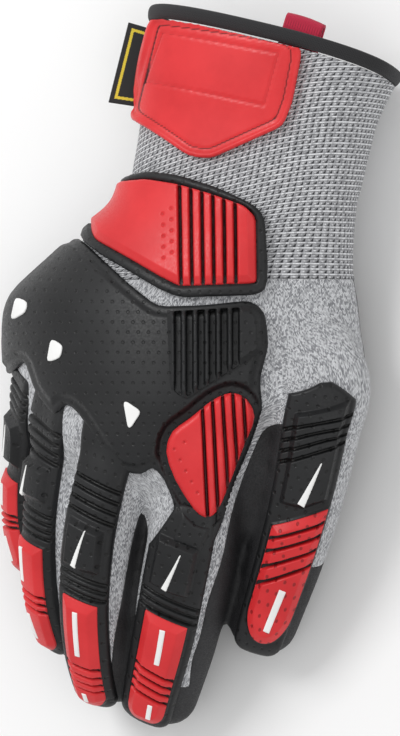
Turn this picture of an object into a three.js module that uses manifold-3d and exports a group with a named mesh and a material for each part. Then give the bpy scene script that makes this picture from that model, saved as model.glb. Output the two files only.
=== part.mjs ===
// A right-hand knit work glove with rubber impact guards on the back of the hand.
// It lies palm down on a flat surface, fingers towards -Y, cuff towards +Y, thumb towards +X.
// All lengths are in millimetres and +Z is up.

import * as THREE from 'three';
import { mergeVertices } from 'three/addons/utils/BufferGeometryUtils.js';
import Module from 'manifold-3d';

const wasm = await Module();
wasm.setup();
const { Manifold, Mesh } = wasm;

// Driving sizes
const GLOVE_LENGTH = 257;
const PALM_WIDTH = 138;
const PALM_HEIGHT = 60;
const CUFF_WIDTH = 88;
const CUFF_DEPTH = 46;
const INDEX_REACH = 105;
const MIDDLE_REACH = 98;
const RING_REACH = 87.5;
const LITTLE_REACH = 66.5;
const THUMB_REACH = 103;
const INDEX_WIDTH = 32;
const MIDDLE_WIDTH = 28;
const RING_WIDTH = 26;
const LITTLE_WIDTH = 23;
const THUMB_WIDTH = 33;
const KNIT_WALL = 1.6;
const HEM_HEIGHT = 4.5;
const HEM_PROUD = 0.8;
const PLATE_THICK = 2;
const PAD_TOP = 4.4;
const GROOVE_FLOOR = 2.5;
const INLAY_PROUD = 0.3;
const INLAY_DEPTH = 1.2;
const PATCH_THICK = 2.4;
const PATCH_RIM_WIDTH = 2;
const PATCH_RIM_PROUD = 0.8;
const LABEL_THICK = 1;
const LOOP_THICK = 1.2;
const LOOP_WIDTH = 14;
const LOOP_HEIGHT = 7;
const GAP = 0.4;

// The outlines on the back of the hand are laid out looking from the thumb's side of straight above.
const LAYOUT_TILT = THREE.MathUtils.degToRad(25);
const FINE = { body: 14, finger: 8, steps: 5, dome: [40, 76] };
const COARSE = { body: 10, finger: 6, steps: 4, dome: [60] };
const SQUARENESS = 2.4;
const FAR = 200;
const TIDY = 0.02;

// Cross sections of the cuff, from the rim to the wrist. along is a share of the glove's length from
// its middle, across and half are shares of the cuff's width, height and depth of its depth. slant and
// bow shift a section's thumb side and its back along the arm, as shares of the width.
const CUFF_LEAN = 0.04;
const CUFF_SECTIONS = [
  { along: 0.447, across: 0.449, half: 0.531, height: 0.489, depth: 0.511, slant: 0.127, bow: 0.068 },
  { along: 0.379, across: 0.391, half: 0.493, height: 0.478, depth: 0.500, slant: 0.108, bow: 0.045 },
  { along: 0.324, across: 0.356, half: 0.484, height: 0.467, depth: 0.489, slant: 0.091, bow: 0.023 },
  { along: 0.270, across: 0.327, half: 0.484, height: 0.478, depth: 0.478, slant: 0.063, bow: 0.011 },
];

// Cross sections of the palm, from the wrist to the webs of the fingers. along is a share of the
// glove's length, across and half of the palm's width, the rest of its height. arch drops the sides.
const PALM_SECTIONS = [
  { along: 0.222, across: 0.187, half: 0.322, height: 0.417, depth: 0.350, lean: 0.03, arch: 0.03 },
  { along: 0.174, across: 0.119, half: 0.380, height: 0.467, depth: 0.325, lean: 0.03, arch: 0.10 },
  { along: 0.133, across: 0.063, half: 0.430, height: 0.533, depth: 0.308, lean: 0.03, arch: 0.20 },
  { along: 0.093, across: 0.018, half: 0.482, height: 0.592, depth: 0.292, lean: 0.03, arch: 0.30 },
  { along: 0.052, across: 0.010, half: 0.494, height: 0.642, depth: 0.275, lean: 0.02, arch: 0.38 },
  { along: 0.004, across: 0.010, half: 0.500, height: 0.675, depth: 0.267, lean: 0.02, arch: 0.45 },
  { along: -0.044, across: 0.013, half: 0.494, height: 0.692, depth: 0.258, lean: 0.02, arch: 0.48 },
  { along: -0.078, across: -0.037, half: 0.428, height: 0.692, depth: 0.250, lean: 0.08, arch: 0.40 },
  { along: -0.105, across: -0.061, half: 0.363, height: 0.692, depth: 0.233, lean: 0.13, arch: 0.33 },
  { along: -0.139, across: -0.031, half: 0.297, height: 0.683, depth: 0.200, lean: 0.10, arch: 0.20 },
  { along: -0.166, across: 0.016, half: 0.224, height: 0.683, depth: 0.142, lean: 0.05, arch: 0.08 },
  { along: -0.187, across: 0.030, half: 0.166, height: 0.667, depth: 0.075, lean: 0.02, arch: 0.02 },
];

// Each finger starts at a root inside the palm: across is a share of the palm's width and along of the
// glove's length. In its path, along and aside are shares of the reach, height of the palm's height,
// half and deep of the finger's own width. roll is the turn of the finger's back, in degrees.
const FINGERS = {
  index: {
    reach: INDEX_REACH, width: INDEX_WIDTH, across: 0.146, along: -0.0436, roll: -13, capFrom: 0.9,
    path: [
      { along: 0.00, aside: 0.000, height: 0.650, half: 0.47, deep: 0.39 },
      { along: 0.23, aside: -0.017, height: 0.642, half: 0.48, deep: 0.38 },
      { along: 0.43, aside: -0.048, height: 0.608, half: 0.50, deep: 0.37 },
      { along: 0.63, aside: -0.113, height: 0.517, half: 0.50, deep: 0.36 },
      { along: 0.80, aside: -0.181, height: 0.400, half: 0.48, deep: 0.35 },
      { along: 1.00, aside: -0.279, height: 0.225, half: 0.42, deep: 0.33 },
    ],
  },
  middle: {
    reach: MIDDLE_REACH, width: MIDDLE_WIDTH, across: -0.045, along: -0.0436, roll: 5, capFrom: 0.9,
    path: [
      { along: 0.00, aside: 0.000, height: 0.717, half: 0.48, deep: 0.42 },
      { along: 0.25, aside: -0.063, height: 0.717, half: 0.49, deep: 0.41 },
      { along: 0.46, aside: -0.119, height: 0.700, half: 0.50, deep: 0.40 },
      { along: 0.68, aside: -0.166, height: 0.617, half: 0.49, deep: 0.39 },
      { along: 0.86, aside: -0.199, height: 0.475, half: 0.47, deep: 0.38 },
      { along: 1.00, aside: -0.224, height: 0.292, half: 0.43, deep: 0.37 },
    ],
  },
  ring: {
    reach: RING_REACH, width: RING_WIDTH, across: -0.221, along: -0.0300, roll: 27, capFrom: 0.88,
    path: [
      { along: 0.00, aside: 0.000, height: 0.567, half: 0.48, deep: 0.43 },
      { along: 0.24, aside: -0.055, height: 0.533, half: 0.49, deep: 0.42 },
      { along: 0.48, aside: -0.105, height: 0.500, half: 0.49, deep: 0.41 },
      { along: 0.66, aside: -0.128, height: 0.442, half: 0.48, deep: 0.40 },
      { along: 0.84, aside: -0.145, height: 0.333, half: 0.46, deep: 0.39 },
      { along: 1.00, aside: -0.142, height: 0.192, half: 0.42, deep: 0.38 },
    ],
  },
  little: {
    reach: LITTLE_REACH, width: LITTLE_WIDTH, across: -0.354, along: -0.0027, roll: 45, capFrom: 0.84,
    path: [
      { along: 0.00, aside: 0.000, height: 0.350, half: 0.50, deep: 0.46 },
      { along: 0.26, aside: -0.051, height: 0.283, half: 0.49, deep: 0.45 },
      { along: 0.58, aside: -0.112, height: 0.208, half: 0.49, deep: 0.44 },
      { along: 0.82, aside: -0.131, height: 0.163, half: 0.48, deep: 0.43 },
      { along: 1.00, aside: -0.090, height: 0.150, half: 0.45, deep: 0.42 },
    ],
  },
  thumb: {
    reach: THUMB_REACH, width: THUMB_WIDTH, across: 0.418, along: 0.0518, roll: -27, capFrom: 0.94,
    path: [
      { along: 0.00, aside: -0.065, height: 0.450, half: 0.40, deep: 0.34 },
      { along: 0.17, aside: 0.015, height: 0.433, half: 0.50, deep: 0.42 },
      { along: 0.34, aside: -0.017, height: 0.425, half: 0.48, deep: 0.40 },
      { along: 0.54, aside: -0.070, height: 0.383, half: 0.45, deep: 0.38 },
      { along: 0.75, aside: -0.150, height: 0.308, half: 0.42, deep: 0.36 },
      { along: 1.00, aside: -0.267, height: 0.192, half: 0.37, deep: 0.34 },
    ],
  },
};

// Outlines on the back of the hand. Each point is [across, along]: across is a share of the plan's width
// and along of the glove's length, both from the middle of the plan.
const PATCH_OUTLINE = [
  [-0.115, 0.471], [-0.098, 0.481], [0.215, 0.447], [0.245, 0.433], [0.250, 0.419], [0.228, 0.357],
  [0.205, 0.325], [0.028, 0.283], [-0.025, 0.287], [-0.152, 0.340], [-0.165, 0.355],
];
const LABEL_OUTLINE = [[-0.182, 0.479], [-0.087, 0.464], [-0.100, 0.357], [-0.233, 0.368]];
const WRIST_GUARD_OUTLINE = [
  [-0.180, 0.261], [-0.125, 0.268], [-0.050, 0.261], [0.050, 0.242], [0.138, 0.218], [0.160, 0.202],
  [0.168, 0.133], [0.163, 0.105],
  [0.135, 0.098], [-0.050, 0.095], [-0.100, 0.106], [-0.175, 0.131], [-0.250, 0.155], [-0.297, 0.176],
  [-0.270, 0.204], [-0.230, 0.234],
];
const WRIST_PAD_OUTLINE = [
  [-0.180, 0.253], [-0.125, 0.256], [-0.050, 0.248], [0.020, 0.236], [0.110, 0.218], [0.138, 0.203],
  [0.140, 0.114],
  [-0.050, 0.110], [-0.100, 0.124], [-0.175, 0.148], [-0.255, 0.173], [-0.265, 0.187], [-0.250, 0.211],
  [-0.223, 0.233],
];
const KNUCKLE_PLATE_OUTLINE = [
  [-0.300, 0.177], [-0.250, 0.151], [-0.175, 0.113], [-0.105, 0.083], [0.000, 0.084], [0.125, 0.091],
  [0.160, 0.076], [0.170, 0.031],
  [0.147, -0.016], [0.155, -0.057], [0.125, -0.105], [0.090, -0.150], [0.055, -0.207], [0.013, -0.264],
  [-0.095, -0.241], [-0.060, -0.187],
  [-0.087, -0.150], [-0.117, -0.132], [-0.142, -0.144], [-0.205, -0.139], [-0.260, -0.094],
  [-0.300, -0.061], [-0.333, -0.046], [-0.360, -0.068],
  [-0.410, -0.033], [-0.440, 0.014], [-0.470, -0.005], [-0.530, -0.016], [-0.530, 0.093], [-0.475, 0.144],
  [-0.375, 0.181],
];
const KNUCKLE_RIB_OUTLINE = [
  [-0.065, 0.067], [0.130, 0.080], [0.147, 0.071], [0.152, 0.027], [-0.035, -0.038], [-0.062, -0.022],
];
const KNUCKLE_PAD_OUTLINE = [
  [-0.025, -0.068], [-0.070, -0.084], [-0.087, -0.112], [-0.062, -0.150], [-0.013, -0.193],
  [0.015, -0.203], [0.043, -0.195],
  [0.072, -0.153], [0.115, -0.095], [0.138, -0.063], [0.117, -0.041], [0.080, -0.031], [0.030, -0.042],
];
const KNUCKLE_INSERT_OUTLINES = [
  [[-0.445, 0.091], [-0.422, 0.087], [-0.427, 0.076], [-0.455, 0.068]],
  [[-0.357, 0.037], [-0.335, 0.029], [-0.340, 0.015], [-0.365, 0.010]],
  [[-0.182, -0.046], [-0.147, -0.059], [-0.172, -0.080]],
];

// The black branch on each finger: from, to, left and right as in a finger block. A finger block's from
// and to are shares of the way to the tip, past 1 on the round tip, and left and right are shares of
// the half width. raised is a black block, pad the red one, and grooves are cut across at each share.
// An inlay is a white strip from one [share, across] point to another.
const FINGER_GUARDS = {
  index: {
    branch: { from: 0.30, to: 1.07, left: -0.80, right: 0.52 },
    raised: { from: 0.41, to: 0.57, left: -0.60, right: 0.34 },
    pad: { from: 0.66, to: 1.04, left: -0.60, right: 0.34 },
    padGrooves: [0.855, 0.882, 0.908, 0.935],
    inlays: [[[0.46, -0.02], [0.56, -0.22]], [[0.70, -0.16], [0.83, -0.10]], [[0.96, -0.10], [1.01, -0.08]]],
  },
  middle: {
    branch: { from: 0, to: 1.07, left: -0.62, right: 0.74 },
    raised: { from: 0.37, to: 0.51, left: -0.46, right: 0.56 },
    pad: { from: 0.595, to: 1.04, left: -0.46, right: 0.56 },
    padGrooves: [0.825, 0.86, 0.895, 0.93],
    inlays: [[[0.39, -0.16], [0.50, -0.34]], [[0.635, -0.24], [0.795, -0.22]], [[0.955, -0.22], [1.02, -0.18]]],
  },
  ring: {
    branch: { from: 0, to: 1.03, left: -0.86, right: 0.62 },
    raised: { from: 0.25, to: 0.37, left: -0.66, right: 0.44 },
    pad: { from: 0.53, to: 0.99, left: -0.66, right: 0.44 },
    padGrooves: [0.73, 0.76, 0.79],
    inlays: [[[0.26, -0.28], [0.36, -0.38]], [[0.56, -0.34], [0.69, -0.34]], [[0.83, -0.32], [0.94, -0.28]]],
  },
  little: {
    branch: { from: 0, to: 1.08, left: -0.80, right: 0.72 },
    raised: { from: 0.24, to: 0.44, left: -0.60, right: 0.54 },
    pad: { from: 0.49, to: 1.05, left: -0.60, right: 0.54 },
    padGrooves: [0.68, 0.715, 0.75],
    inlays: [[[0.28, -0.10], [0.41, -0.16]], [[0.53, -0.14], [0.64, -0.14]], [[0.80, -0.14], [0.98, -0.14]]],
  },
  thumb: {
    branch: { from: 0.21, to: 1.04, left: -0.66, right: 0.86 },
    raised: { from: 0.29, to: 0.61, left: -0.52, right: 0.72 },
    pad: { from: 0.65, to: 1.01, left: -0.54, right: 0.76 },
    raisedGrooves: [0.34, 0.375, 0.41, 0.445],
    padGrooves: [0.69, 0.73, 0.775, 0.82],
    inlays: [[[0.47, 0.22], [0.595, -0.02]], [[0.85, 0.16], [0.97, 0.06]]],
  },
};
const FINGER_SLANT = 0.02;
const THUMB_SLANT = -0.04;
const GROOVE_OVERRUN = 0.2;
const INLAY_HALF_WIDTH = 1;

// How much of a section's half depth the coated palm side takes, measured from the middle down
const COATED_FROM = -0.1;
const BACK_FROM = 0.02;
const CAP_SPREAD = 2;
const CAP_STEP = 0.05;
const SKIN_COVER = 0.3;

// The height above a section's middle that stays, when only its back or its coated side is kept
function keptRise(rise, deep, side, lift) {
  if (side === 'back') return Math.max(rise, BACK_FROM * deep);
  if (side === 'coated') return Math.min(rise, COATED_FROM * deep + lift);
  return rise;
}

// The knit path of a finger, at a share t of the way from its root to the centre of its round tip
function fingerStation(finger, t) {
  const rows = finger.path;
  const points = rows.map((row) => new THREE.Vector3(
    finger.across * PALM_WIDTH + row.aside * finger.reach,
    finger.along * GLOVE_LENGTH - row.along * finger.reach,
    row.height * PALM_HEIGHT,
  ));
  const curve = new THREE.CatmullRomCurve3(points);
  const spot = t * (rows.length - 1);
  const lower = Math.min(Math.floor(spot), rows.length - 2);
  const part = spot - lower;
  const centre = curve.getPoint(t);
  const ahead = curve.getTangent(t);
  const roll = THREE.MathUtils.degToRad(finger.roll);
  const back = new THREE.Vector3(-Math.sin(roll), 0, Math.cos(roll));
  back.addScaledVector(ahead, -back.dot(ahead)).normalize();
  const side = new THREE.Vector3().crossVectors(back, ahead);
  const half = finger.width * THREE.MathUtils.lerp(rows[lower].half, rows[lower + 1].half, part);
  const deep = finger.width * THREE.MathUtils.lerp(rows[lower].deep, rows[lower + 1].deep, part);
  return { centre, ahead, back, side, half, deep };
}

// The two unit coordinates of a rounded box section at an angle
function sectionPoint(angle) {
  const power = 2 / SQUARENESS;
  const u = Math.sign(Math.cos(angle)) * Math.abs(Math.cos(angle)) ** power;
  const w = Math.sign(Math.sin(angle)) * Math.abs(Math.sin(angle)) ** power;
  return { u, w };
}

// Section rings of a finger grown by grow. side keeps only its back, or only its coated palm side,
// whose upper edge is then raised by lift; the coating goes all round the tip from a share capFrom on.
function fingerRings(finger, grow, { side = 'all', lift = 0, detail = FINE, from = 0 } = {}) {
  const rings = [];
  const addRing = (station, shrink, forward, kept) => {
    const ring = [];
    for (let k = 0; k < detail.finger; k += 1) {
      const { u, w } = sectionPoint((2 * Math.PI * k) / detail.finger);
      const point = station.centre.clone();
      point.addScaledVector(station.ahead, forward);
      point.addScaledVector(station.side, (station.half + grow) * shrink * u);
      const rise = keptRise((station.deep + grow) * w, station.deep, kept, lift);
      point.addScaledVector(station.back, rise * shrink);
      ring.push(point);
    }
    rings.push(ring);
  };
  const shares = [];
  for (let k = 0; k <= detail.steps; k += 1) shares.push(from + ((1 - from) * k) / detail.steps);
  if (side !== 'coated') {
    for (const t of shares) addRing(fingerStation(finger, t), 1, 0, side);
  } else {
    const cap = finger.capFrom - (CAP_SPREAD * lift) / finger.reach;
    for (const t of shares.filter((share) => share < cap)) addRing(fingerStation(finger, t), 1, 0, side);
    addRing(fingerStation(finger, cap), 1, 0, side);
    addRing(fingerStation(finger, cap), 1, CAP_STEP, 'all');
    addRing(fingerStation(finger, 1), 1, 0, 'all');
  }
  const tip = fingerStation(finger, 1);
  const dome = tip.deep + grow;
  for (const angle of detail.dome) {
    const turn = THREE.MathUtils.degToRad(angle);
    addRing(tip, Math.cos(turn), dome * Math.sin(turn), side === 'back' ? 'back' : 'all');
  }
  return rings;
}

// All the sections of cuff and palm, in millimetres
function bodySections() {
  const cuff = CUFF_SECTIONS.map((row) => ({
    y: row.along * GLOVE_LENGTH,
    x: row.across * CUFF_WIDTH,
    half: row.half * CUFF_WIDTH,
    z: row.height * CUFF_DEPTH,
    deep: row.depth * CUFF_DEPTH,
    lean: CUFF_LEAN * CUFF_DEPTH,
    arch: 0,
    slant: row.slant * CUFF_WIDTH,
    bow: row.bow * CUFF_WIDTH,
  }));
  const palm = PALM_SECTIONS.map((row) => ({
    y: row.along * GLOVE_LENGTH,
    x: row.across * PALM_WIDTH,
    half: row.half * PALM_WIDTH,
    z: row.height * PALM_HEIGHT,
    deep: row.depth * PALM_HEIGHT,
    lean: row.lean * PALM_HEIGHT,
    arch: row.arch * PALM_HEIGHT,
    slant: 0,
    bow: 0,
  }));
  return [...cuff, ...palm];
}

// A section between two others
function between(first, second, share) {
  const mixed = {};
  for (const key of Object.keys(first)) mixed[key] = THREE.MathUtils.lerp(first[key], second[key], share);
  return mixed;
}

// The sections moved on past the rim, so that a cut there runs clear
function pastRim(section, distance) {
  return { ...section, y: section.y + distance };
}

function bodyRings(sections, grow, { side = 'all', lift = 0, detail = FINE } = {}) {
  return sections.map((section) => {
    const ring = [];
    for (let k = 0; k < detail.body; k += 1) {
      const { u, w } = sectionPoint((2 * Math.PI * k) / detail.body);
      const rise = keptRise((section.deep + grow) * w, section.deep, side, lift);
      const out = ((section.half + grow) * u) / section.half;
      ring.push(new THREE.Vector3(
        section.x + section.half * out,
        section.y - section.slant * u + section.bow * w,
        section.z + section.lean * out - section.arch * out * out + rise,
      ));
    }
    return ring;
  });
}

// A closed body through rings of points, each end closed by a fan round its middle
function loft(rings) {
  const sides = rings[0].length;
  const positions = rings.flat().flatMap((point) => [point.x, point.y, point.z]);
  const index = [];
  for (let r = 0; r + 1 < rings.length; r += 1) {
    for (let k = 0; k < sides; k += 1) {
      const next = (k + 1) % sides;
      const a = r * sides + k;
      const b = r * sides + next;
      index.push(a, a + sides, b, b, a + sides, b + sides);
    }
  }
  for (const [r, start] of [[0, true], [rings.length - 1, false]]) {
    const middle = new THREE.Vector3();
    for (const point of rings[r]) middle.addScaledVector(point, 1 / sides);
    const centre = positions.length / 3;
    positions.push(middle.x, middle.y, middle.z);
    for (let k = 0; k < sides; k += 1) {
      const a = r * sides + k;
      const b = r * sides + ((k + 1) % sides);
      if (start) index.push(centre, a, b);
      else index.push(centre, b, a);
    }
  }
  const geometry = new THREE.BufferGeometry();
  geometry.setAttribute('position', new THREE.Float32BufferAttribute(positions, 3));
  geometry.setIndex(index);
  return geometry;
}

// A three.js geometry as a solid that can be joined and cut
function toSolid(geometry) {
  const bare = geometry.clone();
  bare.deleteAttribute('normal');
  bare.deleteAttribute('uv');
  const merged = mergeVertices(bare, 1e-4);
  const triVerts = new Uint32Array(merged.index.array);
  const vertProperties = new Float32Array(merged.attributes.position.array);
  const solid = new Manifold(new Mesh({ numProp: 3, vertProperties, triVerts }));
  if (solid.volume() > 0) return solid;
  for (let k = 0; k < triVerts.length; k += 3) {
    const first = triVerts[k];
    triVerts[k] = triVerts[k + 1];
    triVerts[k + 1] = first;
  }
  return new Manifold(new Mesh({ numProp: 3, vertProperties, triVerts }));
}

function joinAll(solids) {
  return solids.reduce((whole, solid) => whole.add(solid));
}

// A block over the whole plan between two heights
function slab(low, high) {
  const box = new THREE.BoxGeometry(3 * FAR, 4 * FAR, high - low);
  box.translate(0, 0, (high + low) / 2);
  return toSolid(box);
}

const SECTIONS = bodySections();
const FIRST_STEP = SECTIONS[0].y - SECTIONS[1].y;
const HEM_FOOT = between(SECTIONS[0], SECTIONS[1], HEM_HEIGHT / FIRST_STEP);
const KNIT_TOP = between(SECTIONS[0], SECTIONS[1], (HEM_HEIGHT + GAP) / FIRST_STEP);
const FINGER_LIST = Object.values(FINGERS);
const UNDER_FLOOR = slab(-FAR, 0);

// The glove's form grown by grow: all of it, or only one side of it
function form(grow, options = {}) {
  const sections = [grow > 0 ? KNIT_TOP : pastRim(KNIT_TOP, 1), ...SECTIONS.slice(1)];
  const body = toSolid(loft(bodyRings(sections, grow, options)));
  return joinAll([body, ...FINGER_LIST.map((finger) => toSolid(loft(fingerRings(finger, grow, options))))]);
}

// The knit shell: the outer form less the hollow, flattened where it rests
const SKIN = form(0.001).subtract(UNDER_FLOOR);
const HOLLOW = form(-KNIT_WALL, { detail: COARSE }).subtract(slab(-FAR, KNIT_WALL));
const SHELL = SKIN.subtract(HOLLOW);

// The space that the guards keep clear of, and the layers above it
const CLEAR_OF_KNIT = form(GAP);
const LAYERS = new Map();
function backLayer(top) {
  if (!LAYERS.has(top)) LAYERS.set(top, form(top, { side: 'back' }).subtract(UNDER_FLOOR));
  return LAYERS.get(top);
}

// A flat outline on the back of the hand, in shares of the plan's width and of the glove's length from
// its middle, carried down along the direction that it is laid out in. Seen along that direction, the
// back moves across with the palm's width and, being tilted, down with its height. The back is highest
// in the middle and falls off to both sides, in shares of the palm's height.
const PLAN_WIDTH_SHARE = 1.014;
const BACK_CREST = 0.95;
const BACK_FALL = 2.6;
const BACK_LEAN = 0.18375;
function planPoint(across, along) {
  const level = BACK_CREST - BACK_FALL * across * across;
  const sideways = (across * PLAN_WIDTH_SHARE + level * BACK_LEAN) * PALM_WIDTH;
  const downhill = level * PALM_HEIGHT * Math.sin(LAYOUT_TILT);
  return new THREE.Vector2(sideways - downhill, along * GLOVE_LENGTH);
}

function planPrism(shape) {
  const geometry = new THREE.ExtrudeGeometry(shape, { depth: FAR, bevelEnabled: false, curveSegments: 4 });
  geometry.translate(0, 0, -FAR / 2);
  geometry.rotateY(LAYOUT_TILT);
  return toSolid(geometry);
}

function straightOutline(points) {
  return new THREE.Shape(points.map(([across, along]) => planPoint(across, along)));
}

// A closed outline that curves smoothly through its points
function smoothOutline(points, steps) {
  const curve = new THREE.CatmullRomCurve3(
    points.map(([across, along]) => {
      const spot = planPoint(across, along);
      return new THREE.Vector3(spot.x, spot.y, 0);
    }),
    true,
  );
  return new THREE.Shape(curve.getPoints(steps).slice(0, -1).map((p) => new THREE.Vector2(p.x, p.y)));
}

// An outline grown outwards from its middle by a distance
function grown(points, distance) {
  const spots = points.map(([across, along]) => planPoint(across, along));
  const middle = new THREE.Vector2();
  for (const spot of spots) middle.addScaledVector(spot, 1 / spots.length);
  return new THREE.Shape(spots.map((spot) => {
    const away = spot.clone().sub(middle);
    return middle.clone().addScaledVector(away, 1 + distance / away.length());
  }));
}

// A block standing on a finger: an outline of [t, u] points, t the share of the way to the tip and u
// the share of the half width across, carried from inside the finger up past its back
function fingerPrism(finger, outline) {
  const level = (height) => outline.map(([t, u]) => {
    const station = fingerStation(finger, Math.min(t, 1));
    const past = Math.max(t - 1, 0) * finger.reach;
    const point = station.centre.clone();
    point.addScaledVector(station.side, u * station.half);
    point.addScaledVector(station.ahead, past);
    point.addScaledVector(station.back, height);
    return point;
  });
  return toSolid(loft([level(finger.width * 0.1), level(finger.width * 0.5 + 2 * PAD_TOP)]));
}

// A band along a finger between two shares of its length, with straight sides followed in steps
function bandOutline(from, to, left, right) {
  const steps = 3;
  const outline = [];
  for (let k = 0; k <= steps; k += 1) outline.push([from + ((to - from) * k) / steps, left]);
  for (let k = steps; k >= 0; k -= 1) outline.push([from + ((to - from) * k) / steps, right]);
  return outline;
}

// The biggest body of a cut, without slivers
function biggest(solid) {
  const bodies = solid.decompose();
  return bodies.reduce((best, body) => (body.volume() > best.volume() ? body : best));
}

const MATERIALS = {
  knit: { color: 0x9a9da3, roughness: 0.95 },
  waffle: { color: 0x8a8d93, roughness: 0.95 },
  coating: { color: 0x1b1c1e, roughness: 0.8 },
  blackRubber: { color: 0x2a2b2d, roughness: 0.55 },
  redRubber: { color: 0xd0383a, roughness: 0.5 },
  white: { color: 0xf0f0f0, roughness: 0.5 },
  hem: { color: 0x151517, roughness: 0.9 },
  webbing: { color: 0xc01c34, roughness: 0.85 },
  label: { color: 0x202020, roughness: 0.8 },
};

const glove = new THREE.Group();

function addNode(name, solid, material) {
  const mesh = solid.simplify(TIDY).getMesh();
  const geometry = new THREE.BufferGeometry();
  const positions = [];
  for (let k = 0; k < mesh.vertProperties.length; k += mesh.numProp) {
    positions.push(...mesh.vertProperties.slice(k, k + 3));
  }
  geometry.setAttribute('position', new THREE.Float32BufferAttribute(positions, 3));
  geometry.setIndex(Array.from(mesh.triVerts));
  geometry.computeVertexNormals();
  const node = new THREE.Mesh(
    geometry,
    new THREE.MeshStandardMaterial({ ...MATERIALS[material], metalness: 0 }),
  );
  node.name = name;
  glove.add(node);
}

// Knit, coating and hem
const WRIST_LINE = 0.12 * GLOVE_LENGTH;
const INDEX_COAT_FROM = 0.26;
function handSide(y) {
  const box = new THREE.BoxGeometry(3 * FAR, 2 * FAR, 2 * FAR);
  box.translate(0, y - FAR, 0);
  return toSolid(box);
}

function coatedSide(clearance) {
  const options = { side: 'coated', lift: clearance };
  const grow = SKIN_COVER + clearance;
  const body = toSolid(loft(bodyRings(SECTIONS.slice(3), grow, options)));
  return joinAll([body, ...FINGER_LIST.map((finger) => toSolid(loft(fingerRings(finger, grow, options))))]);
}

function hemBand(outer) {
  const sections = [SECTIONS[0], HEM_FOOT];
  const hole = [pastRim(SECTIONS[0], 1), SECTIONS[0], HEM_FOOT, pastRim(HEM_FOOT, -1)];
  return toSolid(loft(bodyRings(sections, outer)))
    .subtract(toSolid(loft(bodyRings(hole, -KNIT_WALL))))
    .subtract(UNDER_FLOOR);
}

const CLEAR_OF_HEM = toSolid(loft(bodyRings([SECTIONS[0], HEM_FOOT], HEM_PROUD + GAP)));
addNode('cuff_hem', hemBand(HEM_PROUD), 'hem');
addNode('cuff_knit', biggest(SHELL.subtract(handSide(WRIST_LINE))), 'waffle');
const HAND_SHELL = SHELL.intersect(handSide(WRIST_LINE - GAP));
addNode('hand_knit', biggest(HAND_SHELL.subtract(coatedSide(GAP))), 'knit');

// The coating of the index finger is a body of its own, from a share of its length on
function indexSleeve(clearance) {
  const from = INDEX_COAT_FROM - clearance / INDEX_REACH;
  return toSolid(loft(fingerRings(FINGERS.index, SKIN_COVER + clearance, { from })));
}
const COATING = HAND_SHELL.intersect(coatedSide(0));
addNode('palm_coating', biggest(COATING.subtract(indexSleeve(GAP))), 'coating');
addNode('index_coating', biggest(COATING.intersect(indexSleeve(0))), 'coating');

// Plates and pads on the back of the hand
const FLOORS = new Map([[GAP, CLEAR_OF_KNIT]]);
function above(floor) {
  if (!FLOORS.has(floor)) FLOORS.set(floor, form(floor));
  return FLOORS.get(floor);
}

function plate(prism, top, floor = GAP) {
  return prism.intersect(backLayer(top)).subtract(above(floor));
}

// A groove across the plan between two points, cut down to the groove floor
const GROOVE_WIDTH = 1.1;
function planGroove(start, end) {
  const from = planPoint(...start);
  const to = planPoint(...end);
  const across = to.clone().sub(from).normalize();
  across.set(-across.y, across.x).multiplyScalar(GROOVE_WIDTH / 2);
  return planPrism(new THREE.Shape([
    from.clone().add(across), from.clone().sub(across), to.clone().sub(across), to.clone().add(across),
  ])).subtract(above(GROOVE_FLOOR));
}

// Evenly spaced grooves: the first and the last are given by their two end points
function planGrooves(first, last, count) {
  const mix = (a, b, share) => a.map((value, axis) => THREE.MathUtils.lerp(value, b[axis], share));
  const grooves = [];
  for (let k = 0; k < count; k += 1) {
    const share = k / (count - 1);
    grooves.push(planGroove(mix(first[0], last[0], share), mix(first[1], last[1], share)));
  }
  return joinAll(grooves);
}

// The share of a finger's length that a distance along it takes
function shareOf(finger, distance) {
  return distance / finger.reach;
}

function fingerBlock(finger, { from, to, left, right }) {
  return fingerPrism(finger, bandOutline(from, to, left, right));
}

// Grooves across a finger's block, lower on the side towards the thumb, and on the thumb itself lower
// on the side towards the fingers. slant is the share of the length that they drop per half width.
function fingerGrooves(finger, shares, { left, right }, slant) {
  const half = shareOf(finger, GROOVE_WIDTH) / 2;
  const first = left - GROOVE_OVERRUN;
  const last = right + GROOVE_OVERRUN;
  return joinAll(shares.map((t) => fingerPrism(finger, [
    [t - half + slant * first, first],
    [t + half + slant * first, first],
    [t + half + slant * last, last],
    [t - half + slant * last, last],
  ]))).subtract(above(GROOVE_FLOOR));
}

// A white strip's block, grown by a clearance all round for the slot that it lies in
function inlayBlock(finger, [start, end], clearance) {
  const along = shareOf(finger, clearance);
  const width = (INLAY_HALF_WIDTH + clearance) / (finger.width / 2);
  return fingerPrism(finger, [
    [start[0] - along, start[1] - width],
    [end[0] + along, end[1] - width],
    [end[0] + along, end[1] + width],
    [start[0] - along, start[1] + width],
  ]);
}

const PAD_FLOOR = PLATE_THICK + GAP;
const INLAY_FLOOR = PAD_TOP - INLAY_DEPTH;
const INLAY_TOP = PAD_TOP + INLAY_PROUD;

// Wrist
const WRIST_GROOVE_FIRST = [[-0.045, 0.09], [-0.045, 0.28]];
const WRIST_GROOVE_LAST = [[0.089, 0.09], [0.089, 0.28]];
const WRIST_GROOVE_COUNT = 6;
const wristPad = plate(planPrism(straightOutline(WRIST_PAD_OUTLINE)), PAD_TOP, PAD_FLOOR)
  .subtract(planGrooves(WRIST_GROOVE_FIRST, WRIST_GROOVE_LAST, WRIST_GROOVE_COUNT));
const wristPlate = plate(planPrism(straightOutline(WRIST_GUARD_OUTLINE)), PLATE_THICK);
addNode('wrist_guard', biggest(wristPlate), 'blackRubber');
addNode('wrist_pad', biggest(wristPad), 'redRubber');

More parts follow.
